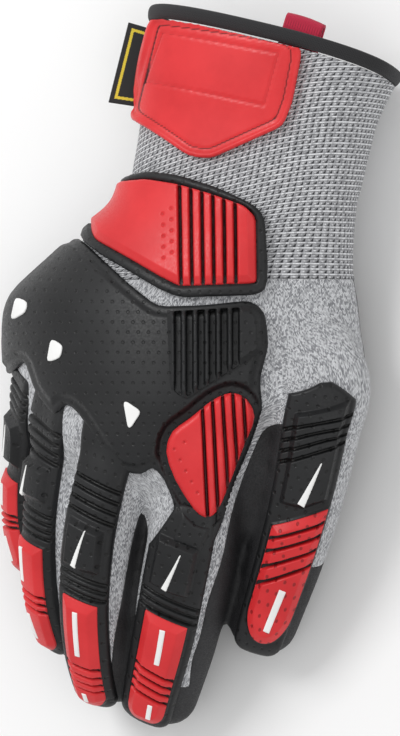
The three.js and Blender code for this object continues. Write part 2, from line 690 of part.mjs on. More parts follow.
// Knuckle plate with its raised ribs, and the finger branches that run out of it
const RIB_GROOVE_FIRST = [[-0.053, 0.08], [-0.053, -0.05]];
const RIB_GROOVE_LAST = [[0.088, 0.09], [0.088, -0.02]];
const RIB_GROOVE_COUNT = 6;
const knuckleRibs = plate(planPrism(straightOutline(KNUCKLE_RIB_OUTLINE)), PAD_TOP)
  .subtract(planGrooves(RIB_GROOVE_FIRST, RIB_GROOVE_LAST, RIB_GROOVE_COUNT));
const knucklePlate = plate(planPrism(straightOutline(KNUCKLE_PLATE_OUTLINE)), PLATE_THICK);
let knuckleGuard = knucklePlate.add(knuckleRibs);
const thumbParts = [];
const inlays = [];
for (const [name, guard] of Object.entries(FINGER_GUARDS)) {
  const finger = FINGERS[name];
  const slant = name === 'thumb' ? THUMB_SLANT : FINGER_SLANT;
  const branch = plate(fingerBlock(finger, guard.branch), PLATE_THICK);
  const raised = plate(fingerBlock(finger, guard.raised), PAD_TOP);
  let black = branch.add(raised);
  if (guard.raisedGrooves) {
    black = black.subtract(fingerGrooves(finger, guard.raisedGrooves, guard.raised, slant));
  }
  let pad = plate(fingerBlock(finger, guard.pad), PAD_TOP, PAD_FLOOR)
    .subtract(fingerGrooves(finger, guard.padGrooves, guard.pad, slant));
  guard.inlays.forEach((inlay, k) => {
    const slot = inlayBlock(finger, inlay, GAP).subtract(above(INLAY_FLOOR - GAP));
    black = black.subtract(slot);
    pad = pad.subtract(slot);
    const strip = plate(inlayBlock(finger, inlay, 0), INLAY_TOP, INLAY_FLOOR);
    inlays.push([`${name}_strip_${k + 1}`, strip]);
  });
  if (name === 'thumb') thumbParts.push(['thumb_guard', black, 'blackRubber']);
  else knuckleGuard = knuckleGuard.add(black);
  thumbParts.push([`${name}_pad`, pad, 'redRubber']);
}

// White inlays in the knuckle plate
KNUCKLE_INSERT_OUTLINES.forEach((outline, k) => {
  const insert = planPrism(grown(outline, 0)).intersect(backLayer(PLATE_THICK + INLAY_PROUD))
    .subtract(above(GAP + INLAY_PROUD));
  knuckleGuard = knuckleGuard.subtract(planPrism(grown(outline, GAP)));
  inlays.push([`knuckle_insert_${k + 1}`, insert]);
});
addNode('knuckle_guard', biggest(knuckleGuard), 'blackRubber');
for (const [name, solid, material] of thumbParts) addNode(name, biggest(solid), material);
for (const [name, solid] of inlays) addNode(name, biggest(solid), 'white');

// The ribbed oval pad on the index side of the knuckles
const OVAL_GROOVE_FIRST = [[0.004, -0.03], [0.02, -0.21]];
const OVAL_GROOVE_LAST = [[0.104, -0.01], [0.12, -0.19]];
const OVAL_GROOVE_COUNT = 5;
const ovalPad = plate(planPrism(smoothOutline(KNUCKLE_PAD_OUTLINE, 18)), PAD_TOP, PAD_FLOOR)
  .subtract(planGrooves(OVAL_GROOVE_FIRST, OVAL_GROOVE_LAST, OVAL_GROOVE_COUNT));
addNode('knuckle_pad', biggest(ovalPad), 'redRubber');

// Cuff patch with its raised rim
const patchField = plate(planPrism(grown(PATCH_OUTLINE, 0)), PATCH_THICK);
const patchRim = plate(planPrism(grown(PATCH_OUTLINE, 0)), PATCH_THICK + PATCH_RIM_PROUD)
  .subtract(planPrism(grown(PATCH_OUTLINE, -PATCH_RIM_WIDTH)));
addNode('cuff_patch', biggest(patchField.add(patchRim).subtract(CLEAR_OF_HEM)), 'redRubber');

// The label is a flat tag sewn in at the little finger's side of the rim
const LABEL_SECTION = SECTIONS[1];
const LABEL_LEVEL = (LABEL_SECTION.x - LABEL_SECTION.half) * Math.sin(LAYOUT_TILT)
  + (LABEL_SECTION.z - LABEL_SECTION.lean) * Math.cos(LAYOUT_TILT);
const label = new THREE.ExtrudeGeometry(
  straightOutline(LABEL_OUTLINE),
  { depth: LABEL_THICK, bevelEnabled: false },
);
label.translate(0, 0, LABEL_LEVEL - 3 * LABEL_THICK);
label.rotateY(LAYOUT_TILT);
const patchSpace = planPrism(grown(PATCH_OUTLINE, GAP))
  .intersect(above(PATCH_THICK + PATCH_RIM_PROUD + GAP));
const cuffSpace = toSolid(loft(bodyRings(SECTIONS.slice(0, 3), HEM_PROUD + GAP)));
const labelClear = toSolid(label).subtract(cuffSpace).subtract(patchSpace);
addNode('side_label', biggest(labelClear), 'label');

// The hang loop is a flat fold of webbing that stands up from inside the rim
function rimPoint(section, angle, grow) {
  const { u, w } = sectionPoint(angle);
  return new THREE.Vector3(
    section.x + (section.half + grow) * u,
    section.y - section.slant * u + section.bow * w,
    section.z + section.lean * u + (section.deep + grow) * w,
  );
}
const LOOP_ANGLE = THREE.MathUtils.degToRad(68);
const LOOP_REACH = 0.1;
const LOOP_INSIDE = KNIT_WALL + 3 * GAP + 1.5 * LOOP_THICK;
const loopFoot = rimPoint(HEM_FOOT, LOOP_ANGLE, -LOOP_INSIDE);
const loopSpot = rimPoint(SECTIONS[0], LOOP_ANGLE, -LOOP_INSIDE);
const loopUp = loopSpot.clone().sub(loopFoot).normalize();
const loopNear = rimPoint(SECTIONS[0], LOOP_ANGLE + LOOP_REACH, 0);
const loopSide = rimPoint(SECTIONS[0], LOOP_ANGLE - LOOP_REACH, 0).sub(loopNear);
loopSide.addScaledVector(loopUp, -loopSide.dot(loopUp)).normalize();
const loopOut = new THREE.Vector3().crossVectors(loopSide, loopUp);
function flatRing(height, thick) {
  const end = height / 2 - thick / 2;
  const shape = new THREE.Shape();
  shape.absarc(0, end, thick / 2, 0, Math.PI);
  shape.absarc(0, -end, thick / 2, Math.PI, 2 * Math.PI);
  return shape;
}
const loopShape = flatRing(LOOP_HEIGHT + HEM_HEIGHT, 3 * LOOP_THICK);
loopShape.holes.push(flatRing(LOOP_HEIGHT + HEM_HEIGHT - 2 * LOOP_THICK, LOOP_THICK));
const loop = new THREE.ExtrudeGeometry(
  loopShape,
  { depth: LOOP_WIDTH, bevelEnabled: false, curveSegments: 4 },
);
loop.translate(0, 0, -LOOP_WIDTH / 2);
loop.applyMatrix4(new THREE.Matrix4().makeBasis(loopOut, loopUp, loopSide.clone()));
loopSpot.addScaledVector(loopUp, (LOOP_HEIGHT - HEM_HEIGHT) / 2);
loop.translate(loopSpot.x, loopSpot.y, loopSpot.z);
addNode('hang_loop', toSolid(loop).subtract(hemBand(HEM_PROUD)), 'webbing');

// The origin is the middle of what the glove rests on
const bounds = new THREE.Box3().setFromObject(glove);
const middle = bounds.getCenter(new THREE.Vector3());
glove.position.set(-middle.x, -middle.y, -bounds.min.z);

export default glove;
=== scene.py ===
"""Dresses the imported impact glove: knit, coating, rubber guards and cuff trim, with floor, light and camera.

It is a right-hand knit work glove lying palm down, fingers towards -Y, cuff towards +Y and thumb towards +X.
Shapes are worked out in millimetres in the frame that the glove was laid out in. Its back is laid out in a
plan seen from 25 degrees towards the thumb: plan x runs across the hand and plan y along it.
"""

import math
from functools import partialmethod

import bpy
import numpy as np
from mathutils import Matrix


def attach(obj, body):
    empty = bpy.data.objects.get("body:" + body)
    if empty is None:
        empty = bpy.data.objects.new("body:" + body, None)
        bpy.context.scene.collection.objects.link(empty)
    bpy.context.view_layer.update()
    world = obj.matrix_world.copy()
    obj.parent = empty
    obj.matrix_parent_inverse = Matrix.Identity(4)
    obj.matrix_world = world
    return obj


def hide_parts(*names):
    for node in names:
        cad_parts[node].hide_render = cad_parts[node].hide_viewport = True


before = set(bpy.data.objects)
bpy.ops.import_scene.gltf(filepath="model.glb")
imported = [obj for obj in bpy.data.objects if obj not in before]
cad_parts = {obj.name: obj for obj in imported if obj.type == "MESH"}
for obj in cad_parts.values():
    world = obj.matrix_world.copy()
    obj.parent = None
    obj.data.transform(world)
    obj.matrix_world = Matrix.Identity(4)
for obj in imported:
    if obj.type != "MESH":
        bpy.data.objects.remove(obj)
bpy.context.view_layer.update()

MM = 0.001
ORIGIN = np.array([-8.17, 0.09, 0.0])
TILT = math.radians(25)
PLAN_X = np.array([math.cos(TILT), 0.0, -math.sin(TILT)])
PLAN_Z = np.array([math.sin(TILT), 0.0, math.cos(TILT)])
SQUARENESS = 2.4

GLOVE_LENGTH = 257.0
PALM_WIDTH = 138.0
PALM_HEIGHT = 60.0
CUFF_WIDTH = 88.0
CUFF_DEPTH = 46.0
PLAN_WIDTH = 140.0
LAYOUT_HALF = 76
WALL = 1.6
HEM_HEIGHT = 4.5
PLATE_TOP = 2.4
PAD_TOP = 4.6
BLOCK_TOP = 5.2
LAYER_GAP = 0.4
WRIST_LINE = 0.12 * GLOVE_LENGTH
SUNK = 0.3
# A finger's half width where its guard is laid out, as a share of its width, and the level on its side that
# the coating reaches, as a share of its half depth
HALF_SHARE = 0.48
COATED_FROM = -0.10
SKIN_CELL, PLAN_STEP, FINGER_STEP = ((1.5, 0.65, 0.5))

# Sections from the rim to the webs of the fingers: along the glove, across it, half width, height, half
# depth, lean, arch, slant and bow. The cuff's are shares of its own width and depth, the palm's of its.
CUFF_ROWS = [
    (0.447, 0.449, 0.531, 0.489, 0.511, 0.04, 0, 0.127, 0.068),
    (0.379, 0.391, 0.493, 0.478, 0.500, 0.04, 0, 0.108, 0.045),
    (0.324, 0.356, 0.484, 0.467, 0.489, 0.04, 0, 0.091, 0.023),
    (0.270, 0.327, 0.484, 0.478, 0.478, 0.04, 0, 0.063, 0.011),
]
PALM_ROWS = [
    (0.222, 0.187, 0.322, 0.417, 0.350, 0.03, 0.03, 0, 0),
    (0.174, 0.119, 0.380, 0.467, 0.325, 0.03, 0.10, 0, 0),
    (0.133, 0.063, 0.430, 0.533, 0.308, 0.03, 0.20, 0, 0),
    (0.093, 0.018, 0.482, 0.592, 0.292, 0.03, 0.30, 0, 0),
    (0.052, 0.010, 0.494, 0.642, 0.275, 0.02, 0.38, 0, 0),
    (0.004, 0.010, 0.500, 0.675, 0.267, 0.02, 0.45, 0, 0),
    (-0.044, 0.013, 0.494, 0.692, 0.258, 0.02, 0.48, 0, 0),
    (-0.078, -0.037, 0.428, 0.692, 0.250, 0.08, 0.40, 0, 0),
    (-0.105, -0.061, 0.363, 0.692, 0.233, 0.13, 0.33, 0, 0),
    (-0.139, -0.031, 0.297, 0.683, 0.200, 0.10, 0.20, 0, 0),
    (-0.166, 0.016, 0.224, 0.683, 0.142, 0.05, 0.08, 0, 0),
    (-0.187, 0.030, 0.166, 0.667, 0.075, 0.02, 0.02, 0, 0),
]
BODY = np.array(
    [np.multiply(r, [GLOVE_LENGTH, CUFF_WIDTH, CUFF_WIDTH, CUFF_DEPTH, CUFF_DEPTH, CUFF_DEPTH, 0, CUFF_WIDTH,
                     CUFF_WIDTH]) for r in CUFF_ROWS]
    + [np.multiply(r, [GLOVE_LENGTH, PALM_WIDTH, PALM_WIDTH, *[PALM_HEIGHT] * 4, 0, 0]) for r in PALM_ROWS]
)
CUFF_END = len(CUFF_ROWS)

# Each finger: its reach and width, the root's share across the palm and along the glove, the turn of its
# back, and the share from which the coating goes all round. Path rows: along and aside in reaches, height in
# palm heights, half width and half depth in widths.
FINGERS = {
    "index": dict(reach=105.0, width=32.0, across=0.146, along=-0.0436, roll=-13, cap=0.90, path=[
        (0.00, 0.000, 0.650, 0.47, 0.39), (0.23, -0.017, 0.642, 0.48, 0.38),
        (0.43, -0.048, 0.608, 0.50, 0.37), (0.63, -0.113, 0.517, 0.50, 0.36),
        (0.80, -0.181, 0.400, 0.48, 0.35), (1.00, -0.279, 0.225, 0.42, 0.33)]),
    "middle": dict(reach=98.0, width=28.0, across=-0.045, along=-0.0436, roll=5, cap=0.90, path=[
        (0.00, 0.000, 0.717, 0.48, 0.42), (0.25, -0.063, 0.717, 0.49, 0.41),
        (0.46, -0.119, 0.700, 0.50, 0.40), (0.68, -0.166, 0.617, 0.49, 0.39),
        (0.86, -0.199, 0.475, 0.47, 0.38), (1.00, -0.224, 0.292, 0.43, 0.37)]),
    "ring": dict(reach=87.5, width=26.0, across=-0.221, along=-0.0300, roll=27, cap=0.88, path=[
        (0.00, 0.000, 0.567, 0.48, 0.43), (0.24, -0.055, 0.533, 0.49, 0.42),
        (0.48, -0.105, 0.500, 0.49, 0.41), (0.66, -0.128, 0.442, 0.48, 0.40),
        (0.84, -0.145, 0.333, 0.46, 0.39), (1.00, -0.142, 0.192, 0.42, 0.38)]),
    "little": dict(reach=66.5, width=23.0, across=-0.354, along=-0.0027, roll=45, cap=0.84, path=[
        (0.00, 0.000, 0.350, 0.50, 0.46), (0.26, -0.051, 0.283, 0.49, 0.45),
        (0.58, -0.112, 0.208, 0.49, 0.44), (0.82, -0.131, 0.163, 0.48, 0.43),
        (1.00, -0.090, 0.150, 0.45, 0.42)]),
    "thumb": dict(reach=103.0, width=33.0, across=0.418, along=0.0518, roll=-27, cap=0.80, path=[
        (0.00, -0.065, 0.450, 0.40, 0.34), (0.17, 0.015, 0.433, 0.50, 0.42),
        (0.34, -0.017, 0.425, 0.48, 0.40), (0.54, -0.070, 0.383, 0.45, 0.38),
        (0.75, -0.150, 0.308, 0.42, 0.36), (1.00, -0.267, 0.192, 0.37, 0.34)]),
}

# Blocks on the fingers: from and to in shares of the reach, left and right in half widths. Grooves are
# shares of the reach. A strip runs from one (along, across) point to another.
GUARDS = {
    "index": dict(
        branch=(0.30, 1.07, -0.82, 0.60), raised=(0.41, 0.57, -0.60, 0.34), pad=(0.66, 1.03, -0.54, 0.42),
        black=(0.595, 0.622, 0.649), red=(0.855, 0.882, 0.908, 0.935),
        strips=(
            ((0.44, 0.00), (0.555, -0.20)), ((0.69, -0.06), (0.82, -0.02)), ((0.955, 0.06), (1.005, 0.08)))),
    "middle": dict(
        branch=(0.00, 1.07, -0.68, 0.74), raised=(0.37, 0.51, -0.46, 0.56), pad=(0.595, 1.03, -0.38, 0.56),
        black=(0.24, 0.275, 0.31, 0.345, 0.53, 0.555, 0.58), red=(0.825, 0.86, 0.895, 0.93),
        strips=(
            ((0.385, 0.16), (0.495, -0.06)), ((0.625, 0.06), (0.78, 0.06)), ((0.95, 0.04), (1.00, 0.06)))),
    "ring": dict(
        branch=(0.00, 1.03, -0.88, 0.64), raised=(0.25, 0.37, -0.66, 0.44), pad=(0.53, 0.99, -0.66, 0.44),
        black=(0.12, 0.155, 0.19, 0.225, 0.40, 0.43, 0.46, 0.49), red=(0.73, 0.76, 0.79),
        strips=(
            ((0.265, -0.28), (0.36, -0.38)), ((0.55, -0.30), (0.69, -0.30)), ((0.82, -0.30), (0.93, -0.24)))),
    "little": dict(
        branch=(0.00, 1.08, -0.80, 0.72), raised=(0.24, 0.44, -0.60, 0.54), pad=(0.49, 1.05, -0.60, 0.54),
        black=(0.08, 0.12, 0.16, 0.20), red=(0.68, 0.715, 0.75),
        strips=(
            ((0.28, -0.10), (0.41, -0.16)), ((0.53, -0.14), (0.64, -0.14)), ((0.80, -0.14), (0.98, -0.14)))),
    "thumb": dict(
        branch=(0.21, 1.08, -0.74, 0.66), raised=(0.29, 0.62, -0.52, 0.52), pad=(0.65, 1.01, -0.54, 0.58),
        black=(0.34, 0.375, 0.41, 0.445), red=(0.69, 0.73, 0.775, 0.82),
        strips=(
            ((0.47, 0.20), (0.605, -0.04)), ((0.855, 0.12), (0.97, 0.06)))),
}

# Outlines in the plan: each point is a share of the plan's width and of the glove's length
PATCH = [(-0.115, 0.471), (-0.098, 0.481), (0.215, 0.447), (0.245, 0.433), (0.250, 0.419), (0.228, 0.357),
         (0.205, 0.325), (0.028, 0.283), (-0.025, 0.287), (-0.152, 0.340), (-0.165, 0.355)]
PATCH_FRAME = [(-0.085, 0.456), (0.195, 0.422), (0.160, 0.353), (-0.125, 0.391)]
LABEL = [(-0.182, 0.479), (-0.087, 0.464), (-0.100, 0.357), (-0.233, 0.368)]
WRIST_GUARD = [
    (-0.180, 0.261), (-0.125, 0.268), (-0.050, 0.261), (0.050, 0.242), (0.138, 0.218), (0.160, 0.202),
    (0.168, 0.133), (0.163, 0.105), (0.135, 0.098), (-0.050, 0.095), (-0.100, 0.106), (-0.175, 0.131),
    (-0.250, 0.155), (-0.297, 0.176), (-0.270, 0.204), (-0.230, 0.234)]
WRIST_PAD = [
    (-0.180, 0.253), (-0.125, 0.256), (-0.050, 0.248), (0.020, 0.236), (0.110, 0.218), (0.138, 0.203),
    (0.140, 0.114), (-0.050, 0.110), (-0.100, 0.124), (-0.175, 0.148), (-0.255, 0.173), (-0.265, 0.187),
    (-0.250, 0.211), (-0.223, 0.233)]
KNUCKLE_PLATE = [
    (-0.300, 0.177), (-0.250, 0.151), (-0.175, 0.113), (-0.105, 0.083), (0.000, 0.084), (0.125, 0.091),
    (0.160, 0.076), (0.170, 0.031), (0.147, -0.016), (0.155, -0.057), (0.125, -0.105), (0.090, -0.150),
    (0.055, -0.207), (0.013, -0.264), (-0.095, -0.241), (-0.060, -0.187), (-0.087, -0.150), (-0.117, -0.132),
    (-0.142, -0.144), (-0.205, -0.139), (-0.260, -0.094), (-0.300, -0.061), (-0.333, -0.046),
    (-0.360, -0.068), (-0.410, -0.033), (-0.440, 0.014), (-0.470, -0.005), (-0.530, -0.016), (-0.530, 0.093),
    (-0.475, 0.144), (-0.375, 0.181)]
KNUCKLE_RIBS = [
    (-0.080, 0.076), (0.130, 0.083), (0.150, 0.071), (0.155, 0.023), (-0.035, -0.042), (-0.072, -0.028)]
KNUCKLE_PAD = [
    (-0.025, -0.068), (-0.070, -0.084), (-0.087, -0.112), (-0.062, -0.150), (-0.013, -0.193), (0.015, -0.203),
    (0.043, -0.195), (0.072, -0.153), (0.115, -0.095), (0.138, -0.063), (0.117, -0.041), (0.080, -0.031),
    (0.030, -0.042)]
THUMB_WEB = [
    (0.155, -0.084), (0.188, -0.075), (0.230, -0.078), (0.210, -0.139), (0.185, -0.207), (0.155, -0.275),
    (0.120, -0.370), (0.080, -0.460), (-0.030, -0.460), (-0.020, -0.398), (0.000, -0.370), (0.020, -0.316),
    (0.055, -0.262), (0.080, -0.193), (0.113, -0.139)]
FINGER_GAP = [
    (-0.145, -0.191), (-0.128, -0.221), (-0.143, -0.262), (-0.160, -0.316), (-0.168, -0.372),
    (-0.160, -0.440), (-0.228, -0.440), (-0.216, -0.372), (-0.195, -0.316), (-0.178, -0.262),
    (-0.163, -0.221)]
KNUCKLE_INSERTS = [
    [(-0.445, 0.091), (-0.422, 0.087), (-0.427, 0.076), (-0.455, 0.068)],
    [(-0.357, 0.037), (-0.335, 0.029), (-0.340, 0.015), (-0.365, 0.010)],
    [(-0.182, -0.046), (-0.147, -0.059), (-0.172, -0.080)]]


# Shapes in numbers


def unit(vectors):
    """Vectors with their length taken to 1."""
    return vectors / np.maximum(np.linalg.norm(vectors, axis=-1, keepdims=True), 1e-9)


def between_rows(rows, t):
    """Values between table rows: a cubic through the rows, with the slope at a row half the step between its
    neighbours. Returns the values and their slopes at t, counted in rows."""
    rows = np.asarray(rows, float)
    t = np.asarray(t, float)
    padded = np.vstack([2 * rows[0] - rows[1], rows, 2 * rows[-1] - rows[-2]])
    k = np.clip(np.floor(t).astype(int), 0, len(rows) - 2)
    f = (t - k)[..., None]
    p0, p1, p2, p3 = (padded[k + i] for i in range(4))
    a = 2 * p1 - 2 * p2 + (p2 - p0) / 2 + (p3 - p1) / 2
    b = 3 * p2 - 3 * p1 - (p2 - p0) - (p3 - p1) / 2
    c = (p2 - p0) / 2
    return p1 + f * (c + f * (b + f * a)), c + f * (2 * b + 3 * f * a)


def section(angle):
    """A rounded box of half width and half height 1: cosine and sine, each raised to 2 / SQUARENESS."""
    power = 2 / SQUARENESS
    u = np.sign(np.cos(angle)) * np.abs(np.cos(angle)) ** power
    w = np.sign(np.sin(angle)) * np.abs(np.sin(angle)) ** power
    return u, w


def body_points(t, angle, grow=0.0):
    """The hand and cuff: a rounded box section at table row t, leant and arched across the hand, its thumb
    side slanted and its back bowed along the arm, and grown outwards by grow."""
    row, _ = between_rows(BODY, t)
    y, x, half, z, deep, lean, arch, slant, bow = np.moveaxis(row, -1, 0)
    u, w = section(angle)
    out = (half + grow) * u / half
    height = z + lean * out - arch * out**2 + (deep + grow) * w
    return np.stack([x + half * out, y - slant * u + bow * w, height], -1)


def finger_frame(finger, t):
    """Centre, direction, back and side of a finger at a share t of its reach, with its half width and
    depth."""
    table = np.array(finger["path"])
    rows = np.column_stack([
        finger["across"] * PALM_WIDTH + table[:, 1] * finger["reach"],
        finger["along"] * GLOVE_LENGTH - table[:, 0] * finger["reach"],
        table[:, 2] * PALM_HEIGHT,
        table[:, 3] * finger["width"],
        table[:, 4] * finger["width"]])
    value, slope = between_rows(rows, np.asarray(t) * (len(rows) - 1))
    ahead = unit(slope[..., :3])
    roll = math.radians(finger["roll"])
    back = np.broadcast_to([-math.sin(roll), 0.0, math.cos(roll)], ahead.shape)
    back = unit(back - ahead * np.sum(back * ahead, -1, keepdims=True))
    return value[..., :3], ahead, back, np.cross(back, ahead), value[..., 3], value[..., 4]


def finger_points(finger, along, angle, grow=0.0):
    """A finger's skin: its section carried along its path, then a round tip. along goes from 0 at the root
    to 1 at the centre of the tip, and on to 2 at its very end. Returns the points, and how far along
    the finger each lies in millimetres."""
    t = np.minimum(along, 1)
    turn = np.clip(along - 1, 0, 1) * math.pi / 2
    centre, ahead, back, side, half, deep = finger_frame(finger, t)
    u, w = section(angle)
    across = (half + grow) * u * np.cos(turn)
    forward = (deep + grow) * np.sin(turn)
    up = (deep + grow) * w * np.cos(turn)
    points = centre + side * across[..., None] + ahead * forward[..., None] + back * up[..., None]
    return points, t * finger["reach"] + forward


def grid_quads(rows, columns, wrap_rows=False, wrap_columns=False):
    """Four-cornered faces of a grid of points, joined up where it wraps."""
    r = np.arange(rows if wrap_rows else rows - 1)
    c = np.arange(columns if wrap_columns else columns - 1)
    r, c = np.meshgrid(r, c, indexing="ij")
    r2, c2 = (r + 1) % rows, (c + 1) % columns
    low, high = r * columns, r2 * columns
    return np.stack([low + c, low + c2, high + c2, high + c], -1).reshape(-1, 4)


def grid_normals(points):
    """Unit normals of a grid: the cross product of its two directions."""
    return unit(np.cross(np.gradient(points, axis=1), np.gradient(points, axis=0)))


def blurred(values, times):
    """Grid values evened out: each becomes the mean of itself and its neighbours, over and over."""
    for _ in range(times):
        for axis in (0, 1):
            pad = [(1, 1) if k == axis else (0, 0) for k in range(values.ndim)]
            wide = np.pad(values, pad, mode="edge")
            low, mid, high = (np.take(wide, range(k, k + values.shape[axis]), axis) for k in range(3))
            values = 0.25 * low + 0.5 * mid + 0.25 * high
    return values


def refined(values, factor):
    """Grid values with factor steps for each one, straight between the old ones."""
    for axis in (0, 1):
        n = values.shape[axis]
        at = np.linspace(0, n - 1, (n - 1) * factor + 1)
        k = np.minimum(at.astype(int), n - 2)
        f = (at - k).reshape([-1 if a == axis else 1 for a in range(values.ndim)])
        values = np.take(values, k, axis) * (1 - f) + np.take(values, k + 1, axis) * f
    return values


def near_line(x, y, start, end):
    """The distance of points from a straight line between two points."""
    (x1, y1), (x2, y2) = start, end
    dx, dy = x2 - x1, y2 - y1
    share = np.clip(((x - x1) * dx + (y - y1) * dy) / (dx * dx + dy * dy), 0, 1)
    return np.hypot(x - x1 - share * dx, y - y1 - share * dy)


def inside(outline, x, y):
    """How far points lie inside a closed outline, in millimetres and below zero outside: the distance to its
    nearest side, signed by whether a line from the point crosses the outline an odd number of times."""
    nearest = np.full(x.shape, 1e9)
    crossings = np.zeros(x.shape, bool)
    for (x1, y1), (x2, y2) in zip(outline, np.roll(outline, -1, axis=0)):
        nearest = np.minimum(nearest, near_line(x, y, (x1, y1), (x2, y2)))
        if y1 != y2:
            crossings ^= ((y1 > y) != (y2 > y)) & (x < x1 + (y - y1) * (x2 - x1) / (y2 - y1))
    return np.where(crossings, nearest, -nearest)


def within(outline):
    """A function of plan x and y: how far inside an outline they lie."""
    return lambda x, y: inside(outline, x, y)


def inside_box(x, y, left, right, low, high, corner):
    """How far points lie inside a box with round corners, below zero outside."""
    dx = np.abs(x - (left + right) / 2) - (right - left) / 2 + corner
    dy = np.abs(y - (low + high) / 2) - (high - low) / 2 + corner
    return corner - np.hypot(np.maximum(dx, 0), np.maximum(dy, 0)) - np.minimum(np.maximum(dx, dy), 0)


def step_up(distance, width):
    """A smooth step from 0 to 1 as a distance goes from 0 to width."""
    f = np.clip(distance / width, 0, 1)
    return f * f * (3 - 2 * f)


def edge_drop(distance, radius):
    """How far a quarter-round edge lies under the flat top, at a distance in from the edge."""
    f = 1 - np.clip(distance / radius, 0, 1)
    return radius * (1 - np.sqrt(1 - f * f))


def in_plan(outline):
    """An outline of shares as plan millimetres."""
    return np.array(outline, float) * [PLAN_WIDTH, GLOVE_LENGTH]


def softened(shares, reach=3.0):
    """An outline of shares as plan millimetres, with its corners rounded: each corner makes way for a
    point on either side of it, at reach or at most two fifths of the way to the next corner, and one
    between, half way in to the corner."""
    points = in_plan(shares)

    def beside(other):
        away = other - points
        length = np.linalg.norm(away, axis=1, keepdims=True)
        return points + away * np.minimum(reach / length, 0.4)

    before, after = beside(np.roll(points, 1, axis=0)), beside(np.roll(points, -1, axis=0))
    return np.stack([before, 0.25 * before + 0.5 * points + 0.25 * after, after], 1).reshape(-1, 2)


def inside_strip(x, y, start, end, thin, wide):
    """How far points lie inside a strip between two points, half as wide as thin at its start and wide at
    its end, below zero outside."""
    (x1, y1), (x2, y2) = start, end
    length = math.hypot(x2 - x1, y2 - y1)
    along = ((x - x1) * (x2 - x1) + (y - y1) * (y2 - y1)) / length
    across = np.abs((x - x1) * (y2 - y1) - (y - y1) * (x2 - x1)) / length
    width = thin + (wide - thin) * np.clip(along / length, 0, 1)
    return np.minimum(width - across, np.minimum(along, length - along))


def groove(distance, half_width, depth):
    """How deep a rounded groove is at a distance from its middle line."""
    return depth * (1 - step_up(distance - 0.5 * half_width, half_width))


# Meshes


def new_piece(name, points, faces, uv=None, marks=None):
    """A mesh object from arrays: points in millimetres, faces with as many corners each, a UV place in
    millimetres for each face corner, and named numbers for each point."""
    mesh = bpy.data.meshes.new(name)
    mesh.vertices.add(len(points))
    mesh.vertices.foreach_set("co", ((points + ORIGIN) * MM).astype(np.float32).ravel())
    corners = faces.shape[1]
    mesh.loops.add(faces.size)
    mesh.loops.foreach_set("vertex_index", faces.astype(np.int32).ravel())
    mesh.polygons.add(len(faces))
    mesh.polygons.foreach_set("loop_start", np.arange(len(faces), dtype=np.int32) * corners)
    mesh.polygons.foreach_set("use_smooth", np.ones(len(faces), bool))
    mesh.update(calc_edges=True)
    if uv is not None:
        layer = mesh.uv_layers.new(name="millimetres")
        layer.data.foreach_set("uv", uv.astype(np.float32).ravel())
    for key, values in (marks or {}).items():
        mark = mesh.attributes.new(key, "FLOAT", "POINT")
        mark.data.foreach_set("value", values.astype(np.float32).ravel())
    piece = bpy.data.objects.new(name, mesh)
    bpy.context.scene.collection.objects.link(piece)
    return piece


def mesh_arrays(mesh):
    """Points in millimetres and triangles of a mesh."""
    points = np.empty(len(mesh.vertices) * 3, np.float32)
    mesh.vertices.foreach_get("co", points)
    mesh.calc_loop_triangles()
    triangles = np.empty(len(mesh.loop_triangles) * 3, np.int32)
    mesh.loop_triangles.foreach_get("vertices", triangles)
    return points.reshape(-1, 3).astype(float) / MM - ORIGIN, triangles.reshape(-1, 3)


def worked_in(piece):
    """The points and triangles that a piece's modifiers make of it. The piece itself is removed."""
    graph = bpy.context.evaluated_depsgraph_get()
    mesh = bpy.data.meshes.new_from_object(piece.evaluated_get(graph), depsgraph=graph)
    points, triangles = mesh_arrays(mesh)
    bpy.data.meshes.remove(mesh)
    bpy.data.meshes.remove(piece.data)
    return points, triangles


def trimmed(values, triangles, depth):
    """The part of a triangle mesh where depth is above zero. A side that crosses zero gets a new point
    there, and every column of values is carried along straight."""
    depth = np.where(np.abs(depth) < 1e-4, 1e-4, depth)
    positive = depth[triangles] > 0
    count = positive.sum(1)

    def odd_first(wanted):
        odd = positive[count == wanted] == (wanted == 1)
        return np.take_along_axis(triangles[count == wanted], (odd.argmax(1)[:, None] + np.arange(3)) % 3, 1)

    ones, twos = odd_first(1), odd_first(2)
    crossed = np.sort(np.concatenate([ones, twos])[:, [0, 1, 0, 2]].reshape(-1, 2), axis=1)
    sides, back = np.unique(crossed, axis=0, return_inverse=True)
    low, high = depth[sides].T
    share = (low / (low - high))[:, None]
    values = np.vstack([values, values[sides[:, 0]] * (1 - share) + values[sides[:, 1]] * share])
    first, second = np.split(back.reshape(-1, 2) + len(depth), [len(ones)])
    kept = np.concatenate([
        triangles[count == 3],
        np.column_stack([ones[:, 0], first]),
        np.column_stack([second[:, 0], twos[:, 1:]]),
        np.column_stack([second[:, 0], twos[:, 2], second[:, 1]])])
    used, kept = np.unique(kept, return_inverse=True)
    return values[used], kept.reshape(-1, 3)


def open_sides(triangles):
    """The sides of a triangle mesh that have a triangle on one side only, each in its triangle's own
    order."""
    sides = np.concatenate([triangles[:, [0, 1]], triangles[:, [1, 2]], triangles[:, [2, 0]]])
    _, where, count = np.unique(np.sort(sides, axis=1), axis=0, return_index=True, return_counts=True)
    return sides[where[count == 1]]


